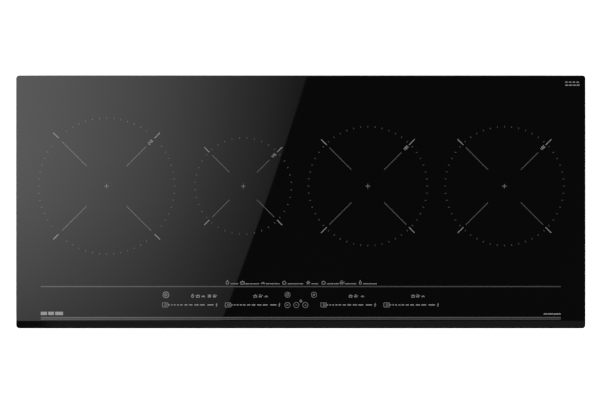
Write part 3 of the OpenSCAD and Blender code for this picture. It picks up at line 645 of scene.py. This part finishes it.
# each slider's dashes: how far along it, and length
DASHES = [(0, 2.0), (4.4, 2.3), (9.0, 2.7), (14.2, 3.1), (19.6, 3.7), (26.7, 4.5),
          (34.3, 5.4), (43.4, 6.4), (52.7, 7.4), (65.5, 9.8)]
# left end, the width of the lines in its pictures, and their places and names
SLIDERS = [
    (-219.5, 1.0, [(48.4, "melt"), (56.9, "pot"), (65.3, "flat"), (75.0, "grill"),
                   (83.8, "pan")]),
    (-120.2, 0.72, [(48.2, "pot"), (57.0, "pan"), (65.6, "flat")]),
    (31.0, 0.72, [(47.8, "pot"), (56.6, "pan"), (66.6, "flat")]),
    (130.5, 0.72, [(47.2, "pot"), (55.1, "pan"), (63.0, "flat")])]
touch = Shape()
key(touch, "power", (-213.2, KEY_Y), 4.6, 0.85)
for x0, line_w, pictures in SLIDERS:
    frame_line = rounded_rect(x0 + 0.7, SLIDER_Y - 3.3, x0 + 9.6, SLIDER_Y + 3.3, 0.8)
    touch.stroke(frame_line, 0.55, True)
    touch.stroke(circle((x0 + 6.0, SLIDER_Y), 1.7, 16), 0.55, True)
    for at, w in DASHES:
        x = x0 + 11.2 + at
        touch.stroke([(x - w / 2, SLIDER_Y), (x + w / 2, SLIDER_Y)], 1.45)
    icon(touch, "bolt", (x0 + 86.4, SLIDER_Y), 5.6, 0.8)
    for place, name in pictures:
        icon(touch, name, (x0 + place, ZONE_ICON_Y), 6.2, line_w)
for name, x, y in (("timer", -20.9, KEY_Y), ("grid", 20.8, KEY_Y), ("pause", -21.1, -163.0),
                   ("minus", -7.0, -163.0), ("plus", 7.2, -163.0)):
    key(touch, name, (x, y))
icon(touch, "lock", (0.1, -156.6), 4.4, 0.6)
# picture and its x, then the bars that follow it: from, to and their lengths
WORDS = [("melt", -116.0, -110.8, -99.1, (3, 2)), ("pot", -92.3, -88.2, -66.0, (3, 2, 4)),
         ("flat", -59.7, -55.0, -33.7, (2, 3, 3)), ("steam", -26.0, -20.5, 3.9, (4, 3, 3)),
         ("star", 11.7, 16.9, 27.3, (2, 2)), ("steam", 35.9, 41.4, 60.4, (5, 4)),
         ("pan", 65.6, 69.7, 87.5, (3, 4)), ("drop", 94.1, 98.5, 120.2, (3, 2, 3))]
for name, xi, x0, x1, pieces in WORDS:
    icon(touch, name, (xi, -127.7), 7.6, 0.75)
    bar_text(touch, x0, x1, WORD_Y, 1.05, pieces)
touch.make("touch_print", ["icon"], "casing")

# Corner marks: plain bars at both front corners, and a block of them at the rear right
marks = Shape()
for x0, x1 in ((-411.0, -401.2), (-399.2, -390.4), (-388.4, -375.8)):
    marks.stroke([(x0, -176.2), (x1, -176.2)], 5.2)
bar_text(marks, 384.0, 411.0, -177.1, 1.6, (2, 3, 4))
for row, y in enumerate((189.3, 184.6)):
    for k in range(4):
        marks.stroke([(418.0 + k * 6.0, y), (421.6 + k * 6.0 + row * 1.2, y)], 1.5)
marks.make("corner_marks", ["icon"], "casing")

# ---------- screws, springs

DOWN = (0, 0, -1)


def cross_screw(shape, c, d, r, h):
    """A screw head with a cross recess. d is the way it is driven."""
    n = 40
    dome = [(0.999, 0.0), (1.0, 0.35), (0.93, 0.68), (0.7, 0.93), (0.42, 1.0)]
    m, base = len(dome), n * len(dome)
    verts, inner = [], []
    faces = [[i * m for i in range(n)][::-1], [base + n + i for i in range(n)]]
    for i in range(n):
        a, j = 2 * math.pi * i / n, (i + 1) % n
        verts += [(rr * r * math.cos(a), rr * r * math.sin(a), zz * h) for rr, zz in dome]
        # the recess: a cross-shaped outline inside the top ring, sunk to half the head
        arm = min(abs((math.degrees(a) - b + 180) % 360 - 180) for b in (0, 90, 180, 270))
        rad = (0.4 if arm <= 14 else 0.2) * r
        inner.append((rad * math.cos(a), rad * math.sin(a)))
        faces += [[i * m + k, j * m + k, j * m + k + 1, i * m + k + 1] for k in range(m - 1)]
        faces += [[i * m + m - 1, j * m + m - 1, base + j, base + i],
                  [base + i, base + j, base + n + j, base + n + i]]
    verts += [(x * f, y * f, z) for f, z in ((1, h), (0.8, h * 0.45)) for x, y in inner]
    q = Vector(DOWN).rotation_difference(Vector(d))
    shape.add([q @ Vector(v) + Vector(c) for v in verts], faces)


HEAD_R, SMALL_HEAD_R, HEAD_H, SHANK_R = 3.6, 2.8, 2.1, 1.9
SIDE_SCREW_Z = -9
tray_lo, tray_hi = mm_box("base_tray")
heads = Shape()
for s in (-1, 1):
    seats = [((x, s * tray_hi.y, SIDE_SCREW_Z), (0, -s, 0)) for x in (-375, -125, 125, 375)]
    seats += [((s * tray_hi.x, y, SIDE_SCREW_Z), (-s, 0, 0)) for y in (-40, 40)]
    for seat, way in seats:
        cross_screw(heads, seat, way, HEAD_R, HEAD_H)
        heads.tube([seat, Vector(seat) + 5 * Vector(way)], SHANK_R, 16)
heads.make("side_screw_set", ["zinc"], "casing", ["side_screws"])

FLOOR = tray_lo.z + 0.8
BOARD_TOP = FLOOR + 7.2
PLATE_TOP = mm_box("coil_plate_left")[1].z
POWER_POSTS = [(-325, -43), (-205, -43), (-162, 100), (-162, 144), (-300, 144), (-395, 144)]
FILTER_POSTS = [(-112, -32), (32, -32), (-112, 94), (32, 94)]
BLOWER = Vector((-345, -108, FLOOR + 1.6))
inner = Shape()
for s in (-1, 1):
    for x in (410, 150, 8):
        for y in (-95, 165):
            cross_screw(inner, (s * x, y, PLATE_TOP), DOWN, HEAD_R, HEAD_H)
            inner.prism(circle((s * x, y), SHANK_R, 16), PLATE_TOP - 6.2, PLATE_TOP)
    for x, y in POWER_POSTS:
        cross_screw(inner, (s * -x, y, BOARD_TOP), DOWN, SMALL_HEAD_R, HEAD_H)
    for a in (-10, 72, 225):
        x, y = polar((BLOWER.x, BLOWER.y), 56, a)
        cross_screw(inner, (s * -x, y, FLOOR + 4.6), DOWN, SMALL_HEAD_R, HEAD_H)
for x, y in FILTER_POSTS:
    cross_screw(inner, (x, y, BOARD_TOP), DOWN, SMALL_HEAD_R, HEAD_H)
inner.make("inner_screw_set", ["zinc"], "casing", ["inner_screws"])

clamps = Shape()
clamp_z = mm_box("terminal_block")[0].z + 1.4
for k in range(5):
    cross_screw(clamps, (76 + 12 * k, 129, clamp_z), (0, 0, 1), 2.66, 0.97)
clamps.make("terminal_screws", ["brass"], "casing")


def helix(c, r, z0, z1, turns, steps=20):
    """A coil spring's centre line, with a closed turn at each end."""
    pts = []
    rise = 0.12
    for i in range(int((turns + 2) * steps) + 1):
        t = i / steps
        f = min(max((t - 1) / turns, 0), 1)
        lift = rise * (min(t, 1) + max(t - turns - 1, 0))
        pts.append((*polar(c, r, 360 * t), z0 + lift + f * (z1 - z0 - 4 * rise)))
    return pts


# each coil unit: centre x, carrier radius, and the side that its leads leave from
COILS = list(zip([zone[0] for zone in ZONES], (100.0, 70.0, 86.0, 86.0), (1, -1, 1, -1)))
spring_top = mm_box("coil_1_springs")[1].z
for i, (zx, r, side) in enumerate(COILS, 1):
    s = Shape()
    for k in range(4):
        s.tube(helix(polar((zx, ZONE_Y), r - 12, 90 * k), 4.2, PLATE_TOP + 0.45,
                     spring_top - 0.45, 3.2), 0.42, 8)
    o = s.make(f"coil_{i}_spring_set", ["spring"], "casing", [f"coil_{i}_springs"],
               smooth=60)
    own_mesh(o)

touch_lo, touch_hi = mm_box("touch_springs")
t = Shape()
GROUP_X = (-176, -78, 73, 170)
contacts = [(x, y, 2.6) for x in (-213, -20, 21) for y in (-147, -163)]
contacts += [(x + 10 * k, -163, 2.3) for x in GROUP_X for k in range(-3, 4)]
for x, y, r in contacts:
    t.tube(helix((x, y), r, touch_lo.z + 0.3, touch_hi.z - 0.3, 4, 14), 0.26, 6)
t.make("touch_contact_springs", ["zinc"], "casing", ["touch_springs"], smooth=60)

# ---------- coil units

WIND_Z, WIND_R, PITCH, LEAD_Y = -0.9, 25, 3.6, 9
LUG_LOW, LUG_TOP = -38.5, -28.5
for i, (zx, r, side) in enumerate(COILS, 1):
    turns = math.floor((r - 30) / PITCH)
    outer_r = WIND_R + turns * PITCH
    lead_x = zx + side * (r + 3.5)
    start = math.asin(LEAD_Y / outer_r)
    s = Shape()
    path, steps = [], 56
    for k in range(turns * steps + 1):
        a = 2 * math.pi * k / steps + (0 if side > 0 else math.pi) - start
        rr = WIND_R + PITCH * k / steps
        path.append((zx + rr * math.cos(a), ZONE_Y + rr * math.sin(a), WIND_Z))
    s.tube(path, 1.62, 10, 0, uv_pitch=9.0)
    inner_x = zx + side * math.sqrt((outer_r - 1) ** 2 - LEAD_Y ** 2)
    for y in (ZONE_Y - LEAD_Y, ZONE_Y + LEAD_Y):
        drop = smooth_route([(inner_x, y, WIND_Z), (lead_x - side * 1.5, y, WIND_Z),
                             (lead_x, y, WIND_Z - 1.5), (lead_x, y, -30)], 2)
        s.tube(drop, 1.35, 12, 1)
        # the push-on terminal: two leaves, two rolled edges and a crimp
        for x in (lead_x - 1.5, lead_x + 0.7):
            s.prism(rounded_rect(x, y - 4, x + 0.8, y + 4, 0.3), LUG_LOW, LUG_TOP, 2)
        for e in (-4, 3.35):
            s.box((lead_x - 0.8, y + e, LUG_LOW), (lead_x + 0.8, y + e + 0.65, LUG_TOP), 2)
        s.box((lead_x - 1.2, y - 3.5, -29.8), (lead_x + 1.2, y + 3.5, -28.6), 2)
    s.make(f"coil_{i}_litz", ["copper", "white_rubber", "brass"], f"coil_{i}",
           [f"coil_{i}_winding"], smooth=50)

# ---------- blowers

WHEEL_R = 42.0
BLADES = 28
for name, sign in (("left", 1), ("right", -1)):
    bx, by, bz = sign * BLOWER.x, BLOWER.y, BLOWER.z
    w, c = Shape(), (bx, by, bz)
    w.revolve([(0.0, 7.4), (17.6, 7.4), (18.8, 8.6), (18.8, 18.9), (WHEEL_R - 0.4, 18.9),
               (WHEEL_R, 19.3), (WHEEL_R - 0.3, 20.0), (20.0, 20.0), (19.9, 8.2),
               (18.4, 6.1), (0.0, 6.0)], c, 64, closed=False)
    w.revolve([(WHEEL_R - 3.6, 4.2), (WHEEL_R - 0.2, 4.0), (WHEEL_R, 5.8),
               (WHEEL_R - 3.4, 6.0)], c, 64)
    w.tube([(bx, by, bz + 6.5), (bx, by, bz + 20.5)], 1.5, 16, 1)
    for k in range(BLADES):
        a = 360 * k / BLADES
        front, back = [], []
        for q in range(7):
            rr = 31.4 + 9.2 * q / 6
            bow = sign * (16 * (1 - q / 6) ** 1.5 - 8)
            front.append(polar((bx, by), rr, a + bow - 0.55))
            back.append(polar((bx, by), rr, a + bow + 0.55))
        w.prism(front + back[::-1], bz + 4.6, bz + 19.2)
    w.make(f"blower_{name}_wheel_mesh", ["dark", "zinc"], f"blower_{name}_wheel",
           [f"blower_{name}_rotor"], smooth=40)

# ---------- components on the boards

rng = random.Random(11)
caps, coils, chips = Shape(), Shape(), Shape()


def mirrored(x0, x1, s):
    """A span of x given for the left board, or its mirror image on the right."""
    return (x0, x1) if s < 0 else (-x1, -x0)


for s in (-1, 1):
    for k in range(4):
        x0, x1 = mirrored(-318, -306, s)
        caps.prism(rounded_rect(x0, -34 + k * 30, x1, -8 + k * 30, 1.0), BOARD_TOP,
                   BOARD_TOP + 17, 0)
    for y in (62, 88):
        x0, x1 = mirrored(-290, -258, s)
        caps.prism(rounded_rect(x0, y, x1, y + 20, 1.2), BOARD_TOP, BOARD_TOP + 18, 0)
    for k in range(2):
        cx = s * (238 - k * 16)
        caps.revolve([(0, 0), (5.4, 0), (6, 0.5), (6, 1.6), (5.6, 2.0), (6, 2.5),
                      (6, 16.2), (5.5, 17), (4.6, 17), (4.4, 16.7), (0, 16.7)],
                     (cx, 96, BOARD_TOP), 32, 1, closed=False)
for y in (-22, 0):
    caps.prism(rounded_rect(-106, y, -74, y + 14, 1.0), BOARD_TOP, BOARD_TOP + 17, 0)
caps.make("capacitor_set", ["film", "can"], "casing", ["capacitors"], bevel=0.5)


def ring_choke(c, r, turns):
    """A ring core with wire wound closely round it."""
    lo, hi = r - 3.4, r + 3.4
    coils.revolve([(lo, 2.2), (hi, 2.2), (hi, 12.0), (lo, 12.0)], c, 48, 1)
    steps = 14
    path = []
    for k in range(turns * steps):
        u, v = 2 * math.pi * k / steps, 2 * math.pi * k / (turns * steps)
        half_w = 3.9 * max(-1, min(1, 1.35 * math.cos(u)))
        half_h = 5.9 * max(-1, min(1, 1.35 * math.sin(u)))
        path.append((c[0] + (r + half_w) * math.cos(v), c[1] + (r + half_w) * math.sin(v),
                     c[2] + 7.05 + half_h))
    coils.tube(path, 0.55, 7, 0, closed=True)


for s in (-1, 1):
    ring_choke((s * 276, 20, BOARD_TOP), 13, 34)
    x0, x1 = mirrored(-286, -258, s)
    for y0, y1, z0, z1 in ((-36, -30, 0, 17), (-16, -10, 0, 17), (-31, -15, 12, 16.9),
                           (-31, -15, 0, 4.9)):
        coils.prism(rounded_rect(x0, y0, x1, y1, 0.8), BOARD_TOP + z0, BOARD_TOP + z1, 1)
    for z in (5.2 + k * 1.1 for k in range(6)):
        coils.revolve([(0.1, z), (7.4, z), (7.8, z + 0.5), (7.4, z + 1.0), (0.1, z + 1.0)],
                      ((x0 + x1) / 2, -23, BOARD_TOP), 32, 0)
ring_choke((-20, 60, BOARD_TOP), 15, 38)
ring_choke((-70, 60, BOARD_TOP), 12, 30)
coils.make("choke_set", ["enamel_wire", "ferrite"], "casing", ["chokes"], smooth=50)


# Where the coil leads come down, in a board's own x: kept clear of small parts
LUGS = {-1: (-203.5, -164.5), 1: (-195.5, -232.5)}
# small parts: plan size, height and material
CHIPS = [(1.6, 0.8, 0.5, 0), (2.0, 1.2, 0.6, 1), (3.2, 1.6, 0.7, 0), (5.0, 4.0, 1.3, 0),
         (1.6, 0.8, 0.8, 1), (7.0, 4.4, 1.6, 0)]


def scatter(x0, y0, x1, y1, n, sign):
    """Small chips, resistors and ceramic capacitors on a free patch of board."""
    placed, tries = [], 0
    while len(placed) < n and tries < n * 20:
        tries += 1
        w, d, h, slot = rng.choice(CHIPS)
        if rng.random() < 0.5:
            w, d = d, w
        x, y = rng.uniform(x0, x1 - w), rng.uniform(y0, y1 - d)
        if any(abs(x + w / 2 - lug) < 8 for lug in LUGS[sign]) and abs(y - ZONE_Y) < 22:
            continue
        if all(x > b[2] + 0.8 or x + w < b[0] - 0.8 or y > b[3] + 0.8 or y + d < b[1] - 0.8
               for b in placed):
            placed.append((x, y, x + w, y + d))
            lo_x, hi_x = mirrored(x, x + w, sign)
            chips.box((lo_x, y, BOARD_TOP - 0.01), (hi_x, y + d, BOARD_TOP + h), slot)
            for ex in (lo_x - 0.3, hi_x - 0.05):
                chips.box((ex, y + d * 0.2, BOARD_TOP - 0.01),
                          (ex + 0.35, y + d * 0.8, BOARD_TOP + h * 0.5), 2)


for sign in (-1, 1):
    scatter(-250, -30, -212, 80, 60, sign)
    scatter(-196, -26, -175, 60, 34, sign)
    scatter(-245, 104, -172, 132, 40, sign)
scatter(-60, 20, 20, 36, 24, -1)
chips.make("board_small_parts", ["epoxy", "pale", "zinc"], "casing")

# Plug housings with their contact rows, and the relays' covers
plugs = Shape()
GROW = 0.12


def grown(x0, y0, w, d, r):
    """A rounded outline that lies just outside a CAD box."""
    return rounded_rect(x0 - GROW, y0 - GROW, x0 + w + GROW, y0 + d + GROW, r)


def plug(x0, y0, w, d, h):
    plugs.prism(grown(x0, y0, w, d, 0.7), BOARD_TOP - 0.02, BOARD_TOP + h + GROW)
    along_x = w > d
    count = int(max(w, d) // 3.9)
    for k in range(count):
        at = (k + 0.5) * max(w, d) / count
        cx, cy = (x0 + at, y0 + d * 0.72) if along_x else (x0 + w * 0.72, y0 + at)
        plugs.box((cx - 1.0, cy - 1.0, BOARD_TOP + h), (cx + 1.0, cy + 1.0,
                                                        BOARD_TOP + h + GROW + 0.05), 1)


for s in (-1, 1):
    for x, y, w, d, h in ((-290, 136, 18, 8, 9), (-262, 136, 18, 8, 9),
                          (-200, 136, 18, 8, 9), (-170, -44, 10, 16, 8),
                          (-170, 66, 10, 16, 8), (-240, -44, 12, 8, 6)):
        plug(x if s < 0 else -x - w, y, w, d, h)
    plugs.prism(grown(s * 190 - 9, -130.5, 18, 6, 0.6), -8 - GROW, -4.98)
for x, y, w, d, h in ((-14, 88, 28, 8, 9), (-116, 66, 10, 16, 8), (26, 56, 10, 16, 8)):
    plug(x, y, w, d, h)
plugs.make("plug_housings", ["pale", "zinc"], "casing")

relays = Shape()
for k in range(3):
    relays.prism(grown(-50 + 26 * k, -30, 20, 16, 1.0), BOARD_TOP - 0.02,
                 BOARD_TOP + 15 + GROW)
relays.make("relay_covers", ["epoxy"], "casing", bevel=0.4)

# Unlit seven-segment figures on the displays' faces: each bar's centre and half size
figures = Shape()
face, figure_y = mm_box("displays")[1].z, -145
BARS = [(0, dy, 1.5, 0.35) for dy in (-3.4, 0, 3.4)]
BARS += [(dx, dy, 0.35, 1.3) for dx in (-2.1, 2.1) for dy in (-1.7, 1.7)]
for cx in [x + dx for x in GROUP_X for dx in (2.5, 9.5)] + [-3.5, 3.5]:
    for dx, dy, w, d in BARS:
        figures.box((cx + dx - w, figure_y + dy - d, face - 0.02),
                    (cx + dx + w, figure_y + dy + d, face + 0.04))
figures.make("display_segments", ["pale"], "casing")

# ---------- wires

PLUG = BOARD_TOP + 8.05
wires = Shape()
for k in range(3):
    wires.tube(smooth_route([
        (76 + k * 12, 122.9, -32), (76 + k * 12, 108, -32), (62 + k * 8, 104 - k * 4, -29),
        (36 + k * 4, 101 - k * 4.5, -28), (-8 + k * 8, 101 - k * 4.5, -28),
        (-8 + k * 8, 92, -28), (-8 + k * 8, 92, PLUG + 1)]), 1.4, 12, k)
for link in ([(-111, 74, PLUG), (-111, 74, -29), (-138, 74, -27), (-165, 74, -29),
              (-165, 74, PLUG)],
             [(31, 64, PLUG), (31, 64, -29), (60, 66, -27), (130, 72, -27), (165, 74, -29),
              (165, 74, PLUG)]):
    wires.tube(smooth_route(link), 1.5, 12, 4)
for s in (-1, 1):
    wires.tube(smooth_route([
        (s * 190, -127.5, -8.05), (s * 190, -127.5, -16), (s * 189, -119, -27),
        (s * 184, -95, -32), (s * 172, -60, -31), (s * 165, -40, -29), (s * 165, -36, -30),
        (s * 165, -36, PLUG)]), 1.6, 12, 5)
    route = smooth_route([
        (s * 292.9, -108, -36), (s * 283, -108, -36), (s * 262, -84, -39),
        (s * 245, -62, -38), (s * 234, -46, -32), (s * 234, -40, -32),
        (s * 234, -40, BOARD_TOP + 6.05)], 4)
    for strand in (0, 1):
        path, along = [], 0.0
        for j, p in enumerate(route):
            along += (p - route[j - 1]).length if j else 0
            a = along / 4.0 + math.pi * strand
            path.append((p.x, p.y + 0.55 * math.cos(a), p.z + 0.55 * math.sin(a)))
        wires.tube(path, 0.55, 8, 3 if strand else 2)
wires.make("wire_set", ["wire_brown", "wire_blue", "wire_black", "wire_red", "wire_white",
                        "wire_grey"], "casing", ["wiring"], smooth=60)

# A blank foil label on the tray's underside
label = Shape()
label.prism(rounded_rect(-150, 60, -60, 104, 2.0, 6), tray_lo.z - 0.1, tray_lo.z + 0.02, 0)
label.make("blank_label", ["label"], "casing")

# ---------- the CAD nodes that stay

LOOK = {"silicone": "silicone_bond", "foam": "worktop_seal", "zinc": "plate_pillars",
        "sheet": "glass_frame base_tray", "aluminium": "coil_plate_left coil_plate_right",
        "motor": "blower_motors", "pale": "board_trays terminal_block",
        "board": "power_board_left power_board_right filter_board touch_board",
        "extrusion": "heatsinks", "epoxy": "power_switches displays",
        "dark": "touch_carrier terminal_box terminal_cover blower_left_housing"
                " blower_right_housing", "rubber": "inlet_grommet",
        "spring": "clip_left_front clip_left_rear clip_right_front clip_right_rear",
        "ferrite": "", "mica": "", "white_rubber": ""}
for n in range(1, 5):
    for look, part in (("dark", "carrier"), ("ferrite", "ferrites"), ("mica", "mica"),
                       ("white_rubber", "sensor")):
        LOOK[look] += f" coil_{n}_{part}"
# how far the edges of some of them are rounded
SOFT = {"worktop_seal": 0.5, "blower_left_housing": 0.4, "blower_right_housing": 0.4}
SOFT.update(dict.fromkeys(["terminal_cover", "terminal_box", "terminal_block", "displays",
                           "power_switches", "inlet_grommet"], 0.3))
SOFT.update(dict.fromkeys(LOOK["spring"].split(), 0.12))
for look, names in LOOK.items():
    for name in names.split():
        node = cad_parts[name]
        if not node.data.materials:
            node.data.materials.append(M[look])
        for slot_ref in node.material_slots:
            slot_ref.material = M[look]
        node.modifiers.new("closed", "WELD").merge_threshold = 1e-6
        if name in SOFT:
            soften(node, SOFT[name])

# ---------- floor, light, camera

VIEW_X, VIEW_Y = -1.25 * MM, 3.05 * MM
LENS, SENSOR = 200.0, 36.0
FIELD_W = 948.5 * MM
GLASS_Z = TOP * MM
cam_data = bpy.data.cameras.new("camera")
cam_data.lens, cam_data.sensor_width = LENS, SENSOR
cam_data.clip_start, cam_data.clip_end = 0.1, 60.0
CAM_H = FIELD_W * LENS / SENSOR
camera = new_object("camera", cam_data)
camera.location = (VIEW_X, VIEW_Y, GLASS_Z + CAM_H)
bpy.context.scene.camera = camera
bpy.context.scene.view_settings.view_transform = "Standard"


def stage_object(name, verts, faces, mat):
    mesh = bpy.data.meshes.new(name)
    mesh.from_pydata(verts, [], faces)
    mesh.materials.append(mat)
    obj = new_object(name, mesh)
    return obj


def floor_material():
    """A pale, softly lit table, clear from below so that the underside can be seen."""
    m = surface("pale_floor", Base_Color=grey(0.82), Roughness=0.9, Specular_IOR_Level=0.1,
                Emission_Color=grey(1.0), Emission_Strength=0.76)
    mix = m.add("MixShader", Fac=m.add("NewGeometry").outputs["Backfacing"])
    m.links.new(m.shader.outputs["BSDF"], mix.inputs[1])
    m.links.new(m.add("BsdfTransparent").outputs["BSDF"], mix.inputs[2])
    m.show(mix.outputs["Shader"])
    return m.owner


FLOOR_R = 14.0
rim = [(x, y, cad_lo[2] - 0.0002) for x, y in circle((0, 0), FLOOR_R, 64)]
floor = stage_object("floor", rim, [list(range(64))], floor_material())
floor.visible_diffuse = floor.visible_glossy = floor.visible_shadow = False

# The softbox that the left of the glass mirrors: its right edge is slanted, and it
# fades to the right and to the front
CARD_H = 1.2
SHEAR = 0.15
spread = 1 + CARD_H / CAM_H


def on_card(x, y):
    """Where the mirrored view of the glass's point x, y meets the card's plane."""
    return (VIEW_X + (x - VIEW_X) * spread, VIEW_Y + (y - VIEW_Y) * spread)


def edge_x(y):
    """The slanted edge as it is seen in the glass, as a fitted curve, in metres."""
    return -0.0557 + 0.349 * y - 0.105 * y * y


def card_material(name, stops_x, stops_y, strength):
    """Light that fades across the slanted edge and along y."""
    m = surface(name)
    place = m.add("TexCoord").outputs["Object"]
    fades = []
    for axis, stops in (((1.0, -SHEAR, 0.0), stops_x), ((0.0, 1.0, 0.0), stops_y)):
        along = m.add("VectorMath", operation="DOT_PRODUCT", Vector=place)
        along.inputs[1].default_value = axis
        first, last = stops[0][0], stops[-1][0]
        span = m.add("MapRange", Value=along.outputs["Value"], From_Min=first,
                     From_Max=last)
        fades.append(m.ramp(span.outputs["Result"],
                            [((p - first) / (last - first), v) for p, v in stops]))
    both = m.mix("RGBA", *fades, 1.0, blend_type="MULTIPLY")
    m.nodes.remove(m.shader)
    m.show(m.add("Emission", Color=both, Strength=strength).outputs["Emission"])
    return m.owner


def card(name, plan, z, mat):
    obj = stage_object(name, [(x, y, z) for x, y in plan],
                       [list(range(len(plan)))[::-1]], mat)
    obj.visible_camera = obj.visible_diffuse = False
    obj.visible_shadow = obj.visible_transmission = False


FADE_X = [(-0.6, 2.75), (-0.4, 2.0), (-0.26, 1.33), (-0.13, 0.63), (-0.03, 0.23),
          (0.02, 0.2)]
FADE_Y = [(-0.24, 0.4), (-0.12, 0.71), (0.0, 0.96), (0.08, 1.04), (0.2, 1.02)]
STRONGEST = FADE_X[0][1]
corners = [on_card(edge_x(0.04 * k), 0.04 * k) for k in range(-6, 7)]
corners += [on_card(-0.7, 0.24), on_card(-0.7, -0.24)]
card("softbox_card", corners, GLASS_Z + CARD_H, card_material(
    "softbox", [(x * spread - (VIEW_X - SHEAR * VIEW_Y) * (spread - 1), v / STRONGEST)
                for x, v in FADE_X],
    [(on_card(0, y)[1], v) for y, v in FADE_Y], STRONGEST))

# A second, dim card that only the front bevel mirrors
tilt = 2 * math.atan(BEVEL_DROP / FRONT_BEVEL)
mirrored_y = glass_lo.y * MM - CARD_H * math.tan(tilt)
x0, x1, y0, y1 = on_card(-LINE_X * MM, 0)[0], 0.66, mirrored_y - 0.18, mirrored_y + 0.12
card("bevel_card", [(x0, y0), (x1, y0), (x1, y1), (x0, y1)], GLASS_Z + CARD_H,
     card_material("bevel_softbox", [(-1, 1), (1, 1)], [(-2, 1), (2, 1)], 0.2))

# The sky's brightness by its height, from straight down to straight up
SKY = [(-1.0, 0.7), (-0.4, 0.82), (-0.02, 1.0), (0.12, 1.0), (0.35, 0.62), (0.6, 0.36),
       (0.84, 0.2), (0.9, 0.045), (0.985, 0.045), (1.0, 0.045)]
world = bpy.data.worlds.new("studio")
bpy.context.scene.world = world
sky = Look(world, "Background")
axes = sky.add("SeparateXYZ", Vector=sky.add("TexCoord").outputs["Generated"])
height = sky.add("MapRange", Value=axes.outputs["Z"], From_Min=-1.0)
sky.drive("Color", height.outputs["Result"], [((z + 1) / 2, v) for z, v in SKY])


def area(name, place, power, size):
    data = bpy.data.lights.new(name, "AREA")
    data.energy, data.shape, data.size = power, "DISK", size
    obj = new_object(name, data)
    obj.location = place
    obj.rotation_mode = "QUATERNION"
    obj.rotation_quaternion = (-Vector(place)).to_track_quat("-Z", "Y")
    obj.visible_glossy = False


area("key", (-1.9, -1.7, 2.2), 46, 1.8)
area("fill", (2.2, -1.2, 1.9), 26, 1.8)
area("back", (0.4, 2.4, 1.7), 26, 1.8)
area("under", (0.3, -0.6, -2.6), 22, 2.0)
